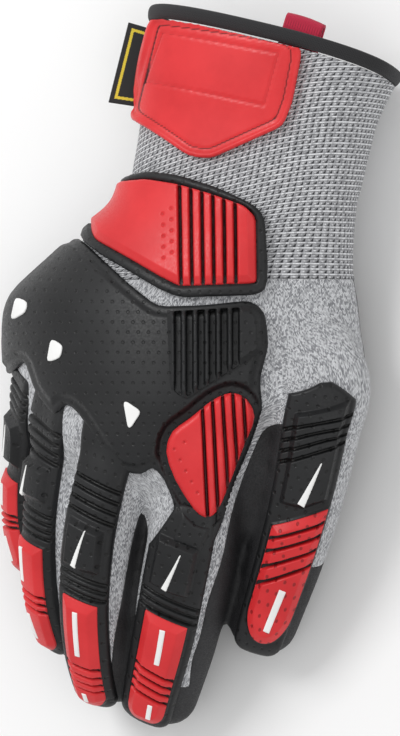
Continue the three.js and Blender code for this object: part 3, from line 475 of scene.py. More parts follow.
def solid_between(name, low, high, triangles, uv, marks):
    """A closed body between a lower and an upper sheet of the same triangles, with walls at its open
    sides."""
    n = len(high)
    sides = open_sides(triangles)
    walls = np.concatenate([
        np.column_stack([sides[:, 1], sides[:, 0], sides[:, 0] + n]),
        np.column_stack([sides[:, 1], sides[:, 0] + n, sides[:, 1] + n])])
    faces = np.concatenate([triangles, triangles[:, ::-1] + n, walls])
    both = {key: np.tile(value, 2) for key, value in marks.items()}
    return new_piece(name, np.vstack([high, low]), faces, np.vstack([uv, uv])[faces], both)


def ring_piece(name, rings, u, v, flipped=False, lap=None):
    """A closed piece made of rings that wrap both ways, with UV places u and v. A face that spans the seam
    of u has its far corners moved back by one lap."""
    faces = grid_quads(*rings.shape[:2], wrap_rows=True, wrap_columns=True)
    uv = np.stack(np.broadcast_arrays(u, v), -1).reshape(-1, 2)[faces]
    if lap:
        uv[..., 0] -= lap * (uv[..., 0] - uv[..., 0].min(1, keepdims=True) > lap / 2)
    step = -1 if flipped else 1
    return new_piece(name, rings.reshape(-1, 3), faces[:, ::step], uv[:, ::step])


# The knit hand


def closed_tube(rings):
    """A tube of rings closed at both ends in a point: the rings, with a shrunken ring at each end."""
    middle = rings.mean(1, keepdims=True)
    ends = middle + 0.001 * (rings - middle)
    rings = np.concatenate([ends[:1], rings, ends[-1:]])
    return rings.reshape(-1, 3), grid_quads(len(rings), rings.shape[1], wrap_columns=True)


def web_points():
    """The web between thumb and index finger: ovals whose middle runs half way between the two fingers' own
    middles, as wide as these are apart, from the roots to over half the thumb's length."""
    share = np.linspace(0, 1, 30)[:, None]
    angle = np.linspace(0, 2 * math.pi, 48, endpoint=False)[None, :]
    thumb, *_ = finger_frame(FINGERS["thumb"], 0.10 + 0.50 * share)
    index, *_ = finger_frame(FINGERS["index"], 0.62 * share)
    middle, apart = (thumb + index) / 2, thumb - index
    return middle + 0.5 * apart * np.cos(angle)[..., None] + np.array([0, 0, 7.0]) * np.sin(angle)[..., None]


def hand_skin():
    """The outer surface of palm and fingers in one: tubes for the palm and each finger, run together on a
    fine grid of cells and evened out, and laid flat where they rest."""
    angle = np.linspace(0, 2 * math.pi, 72, endpoint=False)
    rows = np.linspace(CUFF_END - 0.6, len(BODY) - 1, 90)
    tubes = [closed_tube(body_points(rows[:, None], angle[None, :]))]
    along = np.concatenate([np.linspace(0, 1, 60), 1 + np.linspace(0.06, 0.98, 14)])
    spread = np.broadcast_arrays(along[:, None], angle[None, :])
    tubes += [closed_tube(finger_points(finger, *spread)[0]) for finger in FINGERS.values()]
    tubes.append(closed_tube(web_points()))
    start = np.cumsum([0] + [len(p) for p, _ in tubes])
    points = np.vstack([p for p, _ in tubes])
    faces = np.vstack([f + s for (_, f), s in zip(tubes, start)])
    rough = new_piece("rough_hand", points, faces[:, ::-1])
    remesh = rough.modifiers.new("cells", "REMESH")
    remesh.mode = "VOXEL"
    remesh.voxel_size = SKIN_CELL * MM
    smooth = rough.modifiers.new("evened", "SMOOTH")
    smooth.factor = 0.5
    smooth.iterations = 12
    points, triangles = worked_in(rough)
    points[:, 2] = np.maximum(points[:, 2], 0.1)
    return points, triangles


def arc_share(angle, half, deep):
    """How far round a section an angle lies, in millimetres from the middle of its underside."""
    steps = np.linspace(-math.pi / 2, 1.5 * math.pi, 241)
    u, w = section(steps)
    length = np.concatenate([[0], np.cumsum(np.hypot(np.diff(u) * half, np.diff(w) * deep))])
    turned = np.mod(angle + math.pi / 2, 2 * math.pi) - math.pi / 2
    return np.interp(turned, steps, length)


def section_angle(u, w):
    """The angle whose rounded box section goes through (u, w)."""
    power = SQUARENESS / 2
    return np.arctan2(np.sign(w) * np.abs(w) ** power, np.sign(u) * np.abs(u) ** power)


def place_on_finger(finger, points):
    """Where points lie on a finger: UV in millimetres, how far above the coating's edge, and how far out in
    half widths. The nearest of many stations along the path gives the frame."""
    t = np.linspace(0, 1, 101)
    centre, ahead, back, side, half, deep = finger_frame(finger, t)
    nearest = np.argmin(-2 * points @ centre.T + np.sum(centre**2, 1), axis=1)
    away = points - centre[nearest]
    forward = np.sum(away * ahead[nearest], 1)
    across = np.sum(away * side[nearest], 1)
    rise = np.sum(away * back[nearest], 1)
    u, w = across / half[nearest], rise / deep[nearest]
    past = np.where(nearest == len(t) - 1, np.maximum(forward, 0) / deep[nearest], 0)
    before = np.where(nearest == 0, np.minimum(forward, 0) / deep[nearest], 0)
    run = t[nearest] * finger["reach"] + forward
    arc = arc_share(section_angle(u, w), finger["width"] * HALF_SHARE, finger["width"] * 0.4)
    above = np.minimum(rise - COATED_FROM * deep[nearest], finger["cap"] * finger["reach"] - run)
    return np.column_stack([arc, run]), above, np.sqrt(u**2 + w**2 + past**2 + before**2)


def place_on_palm(points):
    """Where points lie on the palm: UV in millimetres, how far above the coating's edge, and how far out."""
    rows = np.linspace(CUFF_END - 1, len(BODY) - 1, 200)
    table, _ = between_rows(BODY, rows)
    order = np.argsort(table[:, 0])
    x, half, z, deep, lean, arch = (
        np.interp(points[:, 1], table[order, 0], table[order, k]) for k in range(1, 7))
    u = (points[:, 0] - x) / half
    rise = points[:, 2] - z - lean * u + arch * u**2
    w = rise / deep
    past = np.maximum(table[-1, 0] - points[:, 1], 0) / 4
    arc = arc_share(section_angle(u, w), 0.45 * PALM_WIDTH, 0.27 * PALM_HEIGHT)
    return np.column_stack([arc, -points[:, 1]]), rise + 0.1 * deep, np.sqrt(u**2 + w**2 + past**2)


def evened_on_mesh(values, triangles, times):
    """Numbers on mesh points evened out along the sides of its triangles."""
    a = triangles[:, [0, 1, 2]].ravel()
    b = triangles[:, [1, 2, 0]].ravel()
    count = np.bincount(a, minlength=len(values)) + np.bincount(b, minlength=len(values))
    for _ in range(times):
        total = np.bincount(a, values[b], len(values)) + np.bincount(b, values[a], len(values))
        values = 0.5 * values + 0.5 * total / np.maximum(count, 1)
    return values


skin_points, skin_triangles = hand_skin()
places = [place_on_palm(skin_points)] + [place_on_finger(f, skin_points) for f in FINGERS.values()]
outness = np.stack([p[2] for p in places])
nearest_tube = outness.argmin(0)
coat_edge = np.choose(nearest_tube, [p[1] for p in places])
coat_edge = evened_on_mesh(coat_edge, skin_triangles, 14)
for coated in (THUMB_WEB, FINGER_GAP):
    coat_edge = np.minimum(coat_edge, -inside(softened(coated, 4.0), skin_points @ PLAN_X, skin_points[:, 1]))
skin_uv = np.stack([p[0] for p in places])


def skin_piece(name, keep):
    """One side of the skin as a thin shell: the triangles where keep is above zero, cut on the line. Each
    triangle takes its UV from the tube that its first corner is nearest to."""
    values = np.column_stack([skin_points, coat_edge, nearest_tube, *skin_uv])
    keep = np.minimum(keep, WRIST_LINE + 0.5 - skin_points[:, 1])
    values, triangles = trimmed(values, skin_triangles, keep)
    tube = np.rint(values[triangles[:, 0], 4]).astype(int)
    all_uv = values[:, 5:].reshape(len(values), -1, 2)
    uv = all_uv[triangles, tube[:, None]]
    piece = new_piece(name, values[:, :3], triangles, uv, {"coat_edge": values[:, 3]})
    wall = piece.modifiers.new("wall", "SOLIDIFY")
    wall.thickness = WALL * MM
    wall.offset = -1
    return piece


hand_knit = skin_piece("knit_hand", coat_edge - 0.15)
palm_coating = skin_piece("dipped_coating", 0.15 - coat_edge)

# Cuff, hem, loop and label


def cuff_tube():
    """The cuff: the outer skin from the wrist line to the hem, over the top and down inside, as a ring of
    rings."""
    angle = np.linspace(0, 2 * math.pi, 160, endpoint=False) - math.pi / 2
    wrist_row = np.interp(-WRIST_LINE, -BODY[:, 0], np.arange(len(BODY)))
    top_row = (HEM_HEIGHT + LAYER_GAP) / (BODY[0, 0] - BODY[1, 0])
    rows = np.linspace(wrist_row, top_row, 90)
    outer = body_points(rows[:, None], angle[None, :])
    inner = body_points(rows[::-1][::6][:, None], angle[None, :], -WALL)
    rings = np.concatenate([outer, inner])
    rings[..., 2] = np.maximum(rings[..., 2], 0)
    steps = np.linalg.norm(np.diff(rings, axis=0), axis=2)
    run = np.concatenate([np.zeros((1, len(angle))), np.cumsum(steps, 0)])
    around = arc_share(angle, 0.49 * CUFF_WIDTH, 0.49 * CUFF_DEPTH)
    return ring_piece("waffle_cuff", rings, around, run, True, around.max() + around[1])


def rim_row(distance):
    """The table row at a distance down from the rim."""
    return distance / (BODY[0, 0] - BODY[1, 0])


def hem_band():
    """The rolled hem: a rounded strip section carried round the rim. The section goes round the knit's
    edge, as high as the hem and as thick as the folded tape."""
    angle = np.linspace(0, 2 * math.pi, 200, endpoint=False)
    turn = np.linspace(0, 2 * math.pi, 28, endpoint=False)
    u, w = section(turn)
    distance = HEM_HEIGHT * (0.5 - 0.5 * w)
    grow = (0.9 + WALL + 0.3) * (0.5 + 0.5 * u) - WALL - 0.3
    rings = body_points(rim_row(distance)[:, None], angle[None, :], grow[:, None])
    rings[..., 2] = np.maximum(rings[..., 2], 0)
    around = arc_share(angle, 0.53 * CUFF_WIDTH, 0.51 * CUFF_DEPTH)
    return ring_piece("rolled_hem", rings, around[None, :], distance[:, None])


LOOP_ANGLE = math.radians(68)
LOOP_INSIDE = 4.6
LOOP_WIDTH = 14.0
LOOP_RISE = 7.0
LOOP_THICK = 1.2


def hang_loop():
    """The hang loop: a flat stadium-shaped fold of webbing, carried across its width with a slight curve."""
    foot, top = (
        body_points(np.array(rim_row(d)), np.array(LOOP_ANGLE), -LOOP_INSIDE) for d in (HEM_HEIGHT, 0.0))
    up = unit(top - foot)
    near, far = (body_points(np.array(0.0), np.array(LOOP_ANGLE + a), 0.0) for a in (-0.1, 0.1))
    side = unit(near - far - up * ((near - far) @ up))
    out = np.cross(side, up)
    height = LOOP_RISE + HEM_HEIGHT
    share = np.linspace(0, 2 * math.pi, 64, endpoint=False)
    breadth = 1.5 * LOOP_THICK
    straight = height / 2 - breadth
    turn = np.column_stack([np.cos(share), np.sin(share)])
    ring = breadth * turn + straight * np.sign(turn) * [0, 1]
    inner = ring - LOOP_THICK * turn
    across = np.linspace(-0.5, 0.5, 15) * LOOP_WIDTH
    sag = 0.5 * (2 * across / LOOP_WIDTH) ** 2
    rings = np.concatenate([
        top + shape[:, None, :1] * out + (shape[:, None, 1:] - bend[None, :, None]) * up
        + line[None, :, None] * side
        for shape, line, bend in ((ring, across, sag), (inner, across[::-1], sag[::-1]))], 1)
    line = np.concatenate([across, across[::-1]])
    return ring_piece("webbing_loop", rings, line[None, :], (share * 4)[:, None], True)


cuff_knit = cuff_tube()
cuff_hem = hem_band()
loop = hang_loop()


# Surfaces that the guards lie on


def onto_knit(points, straight_down):
    """A grid of points carried onto the knit, straight down or along its own inward normals. Returns the
    points, and whether each met the knit."""
    sheet = new_piece("sheet", points.reshape(-1, 3), grid_quads(*points.shape[:2]))
    wrap = sheet.modifiers.new("onto knit", "SHRINKWRAP")
    wrap.target = knit_target
    wrap.wrap_method = "PROJECT"
    wrap.use_project_z = straight_down
    wrap.use_negative_direction = True
    wrap.use_positive_direction = False
    landed, _ = worked_in(sheet)
    landed = landed.reshape(points.shape)
    return landed, np.linalg.norm(landed - points, axis=-1) > 0.05


def join_for_target():
    """Knit hand and cuff in one object, for the guards to be laid on."""
    cuff_points, cuff_triangles = mesh_arrays(cuff_knit.data)
    points = np.vstack([skin_points, cuff_points])
    triangles = np.vstack([skin_triangles, cuff_triangles + len(skin_points)])
    return new_piece("knit_target", points, triangles)


knit_target = join_for_target()


def plan_surface(outline, margin=3.0, evenings=14):
    """The part of the back under a plan outline as a grid: points dropped straight down onto the knit and
    evened out, never below it. a and b are their plan x and y in millimetres, and room falls below zero
    where the back turns away from the plan or drops off steeply."""
    spots = in_plan(outline)
    x_low = (spots[:, 0].min() - margin) / math.cos(TILT)
    x_high = (spots[:, 0].max() + margin + PALM_HEIGHT * math.sin(TILT)) / math.cos(TILT)
    xs = np.arange(max(x_low, -LAYOUT_HALF), min(x_high, LAYOUT_HALF), PLAN_STEP)
    ys = np.arange(spots[:, 1].min() - margin, spots[:, 1].max() + margin, PLAN_STEP)
    y, x = np.meshgrid(ys, xs, indexing="ij")
    landed, met = onto_knit(np.stack([x, y, np.full_like(x, 90.0)], -1), True)
    height = np.where(met, landed[..., 2], 0)
    weight = met.astype(float)
    for _ in range(3):
        fill = blurred(height * weight, 4) / np.maximum(blurred(weight, 4), 1e-3)
        height = np.where(weight > 0.5, height, fill)
        weight = np.maximum(weight, (blurred(weight, 4) > 0.05).astype(float))
    points = np.stack([x, y, blurred(np.maximum(blurred(height, evenings), height), 3)], -1)
    normal = grid_normals(blurred(points, 4))
    steep = 20 * (normal @ PLAN_Z + 0.02)
    cliff = 6 - np.abs(np.gradient(blurred(height, 2), axis=1)) / PLAN_STEP * 1.4
    room = np.minimum(blurred(np.minimum(steep, cliff), 2), 12 * (blurred(met.astype(float), 2) - 0.6))
    facing = np.clip(normal @ PLAN_Z, 0, 1)[..., None] ** 2
    upward = unit(normal * (1 - 0.9 * facing) + PLAN_Z * 0.9 * facing)
    return dict(points=points, normal=upward, a=points @ PLAN_X, b=y, room=room)


def finger_surface(finger, start):
    """A finger's back as a grid from start to past its tip, lifted onto the knit where a web stands higher.
    a is across, as on a finger of even width, and b along the finger, in millimetres."""
    tip = int(finger["width"] * 0.36 * math.pi / 2 / FINGER_STEP)
    along = np.concatenate([
        np.arange(start, 1, FINGER_STEP / finger["reach"]), 1 + np.linspace(0, 0.96, tip)])
    angle = np.radians(np.linspace(3, 177, int(finger["width"] * HALF_SHARE * 2.6 / FINGER_STEP)))
    along, angle = np.broadcast_arrays(along[:, None], angle[None, :])
    skin, run = finger_points(finger, along, angle)
    high, _ = finger_points(finger, along, angle, 9.0)
    landed, met = onto_knit(high, False)
    normal = grid_normals(skin)
    lift = np.where(met, np.sum((landed - skin) * normal, -1), 0)
    highest = 3.5 * (1 - step_up(along - 0.3, 0.25))
    lift = blurred(np.clip(lift, -0.6, highest), 8)
    points = skin + normal * lift[..., None]
    across = section(angle)[0] * np.cos(np.clip(along - 1, 0, 1) * math.pi / 2) * HALF_SHARE * finger["width"]
    _, _, back, *_ = finger_frame(finger, np.minimum(along, 1))
    upward = unit(0.4 * grid_normals(blurred(points, 2)) + 0.6 * back)
    return dict(points=points, normal=upward, a=across, b=run, room=np.full(met.shape, 9.0))


def relief(name, surface, depth, height, floor, marks=None, finer=1):
    """A moulded piece on a surface. depth and height are functions of the surface's own coordinates: depth
    is above zero inside the outline and height is the top's height over the surface. Its underside lies
    at floor. marks are named functions, such as a groove's depth share, which the rubber materials paint as
    shade."""
    rows, columns = np.where((depth(surface["a"], surface["b"]) > -2) & (surface["room"] > -2))
    part = tuple(slice(max(k.min() - 1, 0), k.max() + 2) for k in (rows, columns))
    grid = {key: refined(value[part], finer) for key, value in surface.items()}
    a, b = grid["a"], grid["b"]
    inner = depth(a, b)
    top = height(a, b, inner)
    marks = marks or {}
    columns = [grid["points"].reshape(-1, 3), grid["normal"].reshape(-1, 3)]
    columns += [k.ravel() for k in (a, b, top, *(mark(a, b, inner) for mark in marks.values()))]
    quads = grid_quads(*a.shape)
    triangles = np.concatenate([quads[:, [0, 1, 2]], quads[:, [0, 2, 3]]])
    values, triangles = trimmed(np.column_stack(columns), triangles, np.minimum(inner, grid["room"]).ravel())
    base, normal = values[:, :3], unit(values[:, 3:6])
    found = {key: values[:, 9 + k] for k, key in enumerate(marks)}
    return solid_between(
        name, base + normal * floor, base + normal * values[:, 8:9], triangles, values[:, 6:8], found)


# Guards on the back of the hand

def even_lines(first, last, count):
    """Lines evenly spaced from a first one to a last one, each given by two points in plan shares."""
    first, last = in_plan(first), in_plan(last)
    return [first + (last - first) * k / (count - 1) for k in range(count)]


def grooved(lines, half_width, depth):
    """A function of plan x and y: how deep a set of grooves is."""
    def cut(x, y):
        total = np.zeros(np.shape(x))
        for start, end in lines:
            total = np.maximum(total, groove(near_line(x, y, start, end), half_width, depth))
        return total
    return cut


def dotted(spots):
    """A function of plan x and y: how deep a set of shallow round dots is."""
    centres = in_plan(spots)

    def cut(x, y):
        away = np.minimum.reduce([np.hypot(x - cx, y - cy) for cx, cy in centres])
        return 0.5 * (1 - step_up(away - 0.3, 0.45))
    return cut


# Wrist guard with its ribbed red pad
wrist_surface = plan_surface(WRIST_GUARD)
wrist_outline = softened(WRIST_GUARD)
wrist_pad_outline = softened(WRIST_PAD, 1.5)
WRIST_GROOVES = even_lines([(-0.045, 0.105), (-0.045, 0.262)], [(0.089, 0.105), (0.089, 0.232)], 6)
WRIST_CUT, RIB_CUT, OVAL_CUT = 2.2, 2.6, 2.4
wrist_cut = grooved(WRIST_GROOVES, 0.65, WRIST_CUT)
WRIST_SLOPED = in_plan([WRIST_PAD[k] for k in (11, 10, 9, 8, 7, 6, 5)])
wrist_dots = dotted([
    (x, y) for k, x in enumerate((-0.085, -0.065)) for y in np.linspace(0.147, 0.207, 5) + 0.0075 * k])


def wrist_frame_height(x, y, inner):
    """A flat top with a round edge. Its border stands up round the red pad, a little below the pad's top."""
    return PLATE_TOP - edge_drop(inner, 1.3) + 1.1 * step_up(-inside(wrist_pad_outline, x, y), 0.8)


def wrist_pad_height(x, y, inner):
    """A flat top that slopes down in flat faces along its lower side and its right end, cut by the grooves
    between the ribs, with a few shallow dots to the left of them."""
    border = np.minimum.reduce([near_line(x, y, *ends) for ends in zip(WRIST_SLOPED, WRIST_SLOPED[1:])])
    slope = 1.5 * (1 - np.clip(border / 3.0, 0, 1))
    return PAD_TOP - edge_drop(inner, 0.8) - slope - wrist_cut(x, y) * step_up(inner, 1.0) - wrist_dots(x, y)


wrist_guard = relief("wrist_frame", wrist_surface, within(wrist_outline), wrist_frame_height, -SUNK)
# The groove mark is painted as shade in the grooves between the ribs and in the dots.
wrist_pad = relief("wrist_pad_red", wrist_surface, within(wrist_pad_outline), wrist_pad_height, 0.4,
                   {"groove": lambda x, y, inner: wrist_cut(x, y) / WRIST_CUT + wrist_dots(x, y)}, finer=2)

# Knuckle plate with its black ribs, the recess round the oval pad, and the oval pad
knuckle_surface = plan_surface(KNUCKLE_PLATE, evenings=22)
knuckle_outline = softened(KNUCKLE_PLATE)
ribs_outline = softened(KNUCKLE_RIBS, 1.5)
oval_outline = softened(KNUCKLE_PAD, 6.0)
RIB_GROOVES = even_lines([(-0.053, 0.075), (-0.053, -0.04)], [(0.088, 0.085), (0.088, -0.005)], 6)
rib_cut = grooved(RIB_GROOVES, 1.1, RIB_CUT)
OVAL_GROOVES = even_lines([(0.004, -0.03), (0.02, -0.21)], [(0.104, -0.01), (0.12, -0.19)], 5)
oval_cut = grooved(OVAL_GROOVES, 0.65, OVAL_CUT)
oval_dots = dotted(
    [(-0.0375, -0.0994)] + [(-0.0625 + 0.0575 * k / 4, -0.1089 - 0.0586 * k / 4) for k in range(5)])


def knuckle_height(x, y, inner):
    """The plate: a low border, a raised field with a sloped side, and a sunken band round the oval pad."""
    outside_oval = -inside(oval_outline, x, y)
    band = 1.5 * (1 - step_up(outside_oval - 2.5, 0.8))
    field = 1.4 * np.clip((inner - 2.4) / 1.6, 0, 1) * step_up(outside_oval - 3.0, 1.5)
    return PLATE_TOP - 0.2 - edge_drop(inner, 1.2) - band + field


def ribs_height(x, y, inner):
    """A flat top with a sloped border, cut by straight grooves."""
    slope = 1.6 * (1 - np.clip(inner / 2.0, 0, 1))
    return PAD_TOP + 1.2 - slope - rib_cut(x, y) * step_up(inner, 0.6)


def oval_height(x, y, inner):
    """A domed top cut by slanting grooves, with a few shallow dots on its left part."""
    return PAD_TOP + 0.5 - edge_drop(inner, 2.6) - oval_cut(x, y) * step_up(inner, 1.2) - oval_dots(x, y)


# The groove marks are painted as shade: a line at the foot of the plate's raised field, the grooves between
# the ribs, and the oval's grooves and dots.
knuckle_guard = relief("knuckle_plate", knuckle_surface, within(knuckle_outline), knuckle_height, -SUNK,
                       {"groove": lambda x, y, inner: groove(np.abs(inner - 2.2), 0.3, 0.5)})
knuckle_ribs = relief("knuckle_ribs", knuckle_surface, within(ribs_outline), ribs_height, 0.8,
                      {"groove": lambda x, y, inner: rib_cut(x, y) / RIB_CUT}, finer=2)
knuckle_pad = relief("knuckle_oval", knuckle_surface, within(oval_outline), oval_height, 0.6,
                     {"groove": lambda x, y, inner: oval_cut(x, y) / OVAL_CUT + oval_dots(x, y)}, finer=2)
inserts = [
    relief(f"knuckle_drop_{k + 1}", knuckle_surface,
           lambda x, y, spot=softened(spot, 1.0): inside(spot, x, y) + 0.5,
           lambda x, y, inner: PLATE_TOP + 1.9 - edge_drop(inner, 0.4), 1.2, finer=3)
    for k, spot in enumerate(KNUCKLE_INSERTS)]

# Cuff patch
patch_surface = plan_surface(PATCH)
patch_outline = softened(PATCH, 2.5)
patch_frame = in_plan(PATCH_FRAME)


def patch_height(x, y, inner):
    """A field with a raised round rim, a sewn line inside it, and a thin sunken frame line."""
    rim = 1.0 * (1 - step_up(inner - 1.2, 0.8))
    seam = groove(np.abs(inner - 3.2), 0.35, 0.45)
    line = groove(np.abs(inside(patch_frame, x, y)), 0.4, 0.45)
    return 2.6 + rim - edge_drop(inner, 1.0) - seam - line


# The groove mark is painted as shade along the sewn line and the sunken frame line.
cuff_patch = relief("patch_red", patch_surface, within(patch_outline), patch_height, -SUNK,
                    {"groove": lambda x, y, inner: 0.8 * groove(np.abs(inner - 3.2), 0.35, 1.0)
                     + 0.5 * groove(np.abs(inside(patch_frame, x, y)), 0.3, 1.0)})

# Label


def label_surface():
    """A flat grid in the plan, at the level of the tag."""
    spots = in_plan(LABEL)
    x = np.linspace(spots[:, 0].min() - 2, spots[:, 0].max() + 2, 60)
    y = np.linspace(spots[:, 1].min() - 2, spots[:, 1].max() + 2, 80)
    b, a = np.meshgrid(y, x, indexing="ij")
    row, _ = between_rows(BODY, np.array(1.0))
    level = (row[1] - row[2]) * math.sin(TILT) + (row[3] - row[5]) * math.cos(TILT) - 2.9
    points = a[..., None] * PLAN_X + b[..., None] * np.array([0, 1.0, 0]) + level * PLAN_Z
    return dict(points=points, normal=np.broadcast_to(PLAN_Z, points.shape).copy(), a=a, b=b,
                room=np.full(a.shape, 9.0))


side_label = relief("woven_label", label_surface(), within(in_plan(LABEL)),
                    lambda x, y, inner: 0.9 - edge_drop(inner, 0.3), 0.0,
                    {"frame": lambda x, y, inner: (np.abs(inner - 2.2) < 0.5).astype(float)}, finer=2)

# Guards on the fingers


def on_share(finger, block):
    """A finger block's sides in millimetres: left, right, start and end."""
    start, end, left, right = block
    half = HALF_SHARE * finger["width"]
    return left * half, right * half, start * finger["reach"], end * finger["reach"]


def finger_guard(name, finger, guard):
    """Branch, red pad and white strips of one finger. Blocks and grooves start and end on slanting lines,
    lower on the thumb's side, and on the thumb itself lower on the fingers' side."""
    surface = finger_surface(finger, max(guard["branch"][0] - 0.04, 0))
    reach = finger["reach"]
    branch, raised, pad = (on_share(finger, guard[key]) for key in ("branch", "raised", "pad"))
    middle = (pad[0] + pad[1]) / 2
    slope = 0.5 if name == "thumb" else -0.14
    tip, wide = (9.0, 1.35) if name == "thumb" else (5.0, 0.95)

    def lean(a, b):
        return b + slope * (a - middle)

    def block(a, b, box, corner):
        left, right, start, end = box
        return np.minimum(inside_box(a, b, left, right, start - 40, end, corner), lean(a, b) - start)

    def cuts(a, b, shares, depth):
        return np.maximum.reduce([groove(np.abs(lean(a, b) - share * reach), 0.6, depth) for share in shares])

    def raised_depth(a, b):
        return np.minimum(block(a, b, raised, 1.0), raised[3] - lean(a, b))

    def branch_depth(a, b):
        depth = block(a, b, branch, 6.0)
        if name == "thumb":
            pointed = b - branch[2] - 0.55 * np.maximum(np.abs(a) - 2, 0)
            depth = np.minimum(inside_box(a, b, *branch, 6.0), pointed)
        if name == "index":
            depth = np.minimum(depth, 0.45 * (b - branch[2] - 2.0 * np.maximum(-a - 4.5, 0)))
        return depth

    def branch_height(a, b, inner):
        emerging = 2.2 * (1 - step_up(b - branch[2], 0.22 * reach)) if branch[2] < 1 else 0
        around = 0.6 * (1 - step_up(-block(a, b, pad, tip), 1.0))
        rise = (BLOCK_TOP - PLATE_TOP) * np.clip(raised_depth(a, b) / 1.6, 0, 1)
        plate = PLATE_TOP + 0.3 - edge_drop(inner, 1.8) - emerging
        return plate + rise + around - black(a, b) * step_up(inner, 0.8)

    def black(a, b):
        return cuts(a, b, guard["black"], 1.4)

    def pad_height(a, b, inner):
        sloped = 1.5 * (1 - np.clip(inner / 2.6, 0, 1))
        return BLOCK_TOP + 0.2 - sloped - cuts(a, b, guard["red"], 2.4) * step_up(inner, 0.5)

    # The groove marks are painted as shade in the grooves of the black branch and the red pad.
    made = [
        relief(f"{name}_branch", surface, branch_depth, branch_height, -0.9,
               {"groove": lambda a, b, inner: black(a, b) / 1.4}, finer=2),
        relief(f"{name}_pad_red", surface, lambda a, b: block(a, b, pad, tip), pad_height, 0.8,
               {"groove": lambda a, b, inner: cuts(a, b, guard["red"], 1.0)}, finer=2)]
    half = HALF_SHARE * finger["width"]
    for k, ((t1, u1), (t2, u2)) in enumerate(guard["strips"]):
        start, end = (u1 * half, t1 * reach), (u2 * half, t2 * reach)
        made.append(relief(
            f"{name}_strip_white_{k + 1}", surface,
            lambda a, b, start=start, end=end, thin=0.2 if k == 0 else wide:
                inside_strip(a, b, start, end, thin, wide),
            lambda a, b, inner: BLOCK_TOP + 0.6 - edge_drop(inner, 0.4), PAD_TOP - 0.8, finer=3))
    return made


finger_pieces = {name: finger_guard(name, FINGERS[name], guard) for name, guard in GUARDS.items()}
bpy.data.meshes.remove(knit_target.data)


# Materials


class Graph:
    """Short hands for wiring a node tree."""

    def __init__(self, tree):
        self.tree = tree

    def node(self, kind, **settings):
        made = self.tree.nodes.new(kind)
        for key, value in settings.items():
            setattr(made, key, value)
        return made

    def feed(self, socket, value):
        if hasattr(value, "is_output"):
            self.tree.links.new(value, socket)
        elif value is not None:
            socket.default_value = value

    def math(self, operation, a, b=None):
        made = self.node("ShaderNodeMath", operation=operation)
        for socket, value in zip(made.inputs, (a, b)):
            self.feed(socket, value)
        return made.outputs[0]

    plus = partialmethod(math, "ADD")
    minus = partialmethod(math, "SUBTRACT")
    times = partialmethod(math, "MULTIPLY")
    over = partialmethod(math, "DIVIDE")
    part = partialmethod(math, "FRACT")
    whole = partialmethod(math, "FLOOR")

    def distance(self, x, y):
        """The square root of x squared and y squared."""
        return self.math("SQRT", self.plus(self.times(x, x), self.times(y, y)))

    def cells(self, place, width, height):
        """A flat place counted in columns of a width and rows of a height."""
        split = self.node("ShaderNodeSeparateXYZ")
        self.feed(split.inputs[0], place)
        return self.over(split.outputs[0], width), self.over(split.outputs[1], height)

    def random(self, column, row):
        """A random number for each whole column and row."""
        cell = self.node("ShaderNodeCombineXYZ")
        self.feed(cell.inputs[0], self.whole(column))
        self.feed(cell.inputs[1], self.whole(row))
        made = self.node("ShaderNodeTexWhiteNoise", noise_dimensions="2D")
        self.feed(made.inputs["Vector"], cell.outputs[0])
        return made.outputs[0]

    def mark(self, name):
        """A number that the piece carries at its points."""
        return self.node("ShaderNodeAttribute", attribute_name=name).outputs["Fac"]

    def span(self, value, low, high, to_low=0.0, to_high=1.0):
        """A value taken smoothly from one range to another."""
        made = self.node("ShaderNodeMapRange", interpolation_type="SMOOTHSTEP")
        for socket, v in zip(made.inputs, (value, low, high, to_low, to_high)):
            self.feed(socket, v)
        return made.outputs[0]

    def mix(self, share, first, second):
        made = self.node("ShaderNodeMix", data_type="RGBA")
        for socket, value in zip((0, 6, 7), (share, first, second)):
            self.feed(made.inputs[socket], value)
        return made.outputs[2]

    def named(self, kind, **values):
        """A node of a kind with values or links on its named inputs. Returns its first output."""
        made = self.node(kind)
        for key, value in values.items():
            self.feed(made.inputs[key], value)
        return made.outputs[0]

    def noise(self, vector, scale, detail=3.0, roughness=0.6):
        return self.named(
            "ShaderNodeTexNoise", Vector=vector, Scale=scale, Detail=detail, Roughness=roughness)

    def bump(self, height, strength, distance, below=None):
        return self.named("ShaderNodeBump", Height=height, Strength=strength, Distance=distance, Normal=below)


def group(name, inputs, outputs):
    """A node group with named float or vector inputs and outputs, its graph, and the sockets at either
    end."""
    tree = bpy.data.node_groups.new(name, "ShaderNodeTree")
    kinds = {"f": "NodeSocketFloat", "v": "NodeSocketVector"}
    for way, sockets in (("INPUT", inputs), ("OUTPUT", outputs)):
        for label, kind in sockets:
            tree.interface.new_socket(label, in_out=way, socket_type=kinds[kind])
    graph = Graph(tree)
    return tree, graph, graph.node("NodeGroupInput").outputs, graph.node("NodeGroupOutput").inputs


def stitch_group():
    """Jersey: columns of V stitches. Each column is one wale wide, and each stitch leans out to both
    sides, so its height is a rounded bar along a slanted line. Fleck is a random number for each half
    stitch."""
    tree, g, start, end = group("v_stitches", [("Place", "v"), ("Wale", "f"), ("Course", "f")],
                                [("Height", "f"), ("Fleck", "f")])
    column, row = g.cells(start["Place"], start["Wale"], start["Course"])
    off = g.math("ABSOLUTE", g.minus(g.part(column), 0.5))
    slanted = g.plus(row, g.times(off, 1.7))
    half_column = g.times(column, 2.0)
    bar = g.math("SINE", g.times(g.part(slanted), math.pi))
    edge = g.math("SINE", g.times(g.part(half_column), math.pi))
    g.feed(end["Height"], g.times(g.math("POWER", bar, 0.6), g.math("POWER", edge, 0.5)))
    g.feed(end["Fleck"], g.random(half_column, slanted))
    return tree


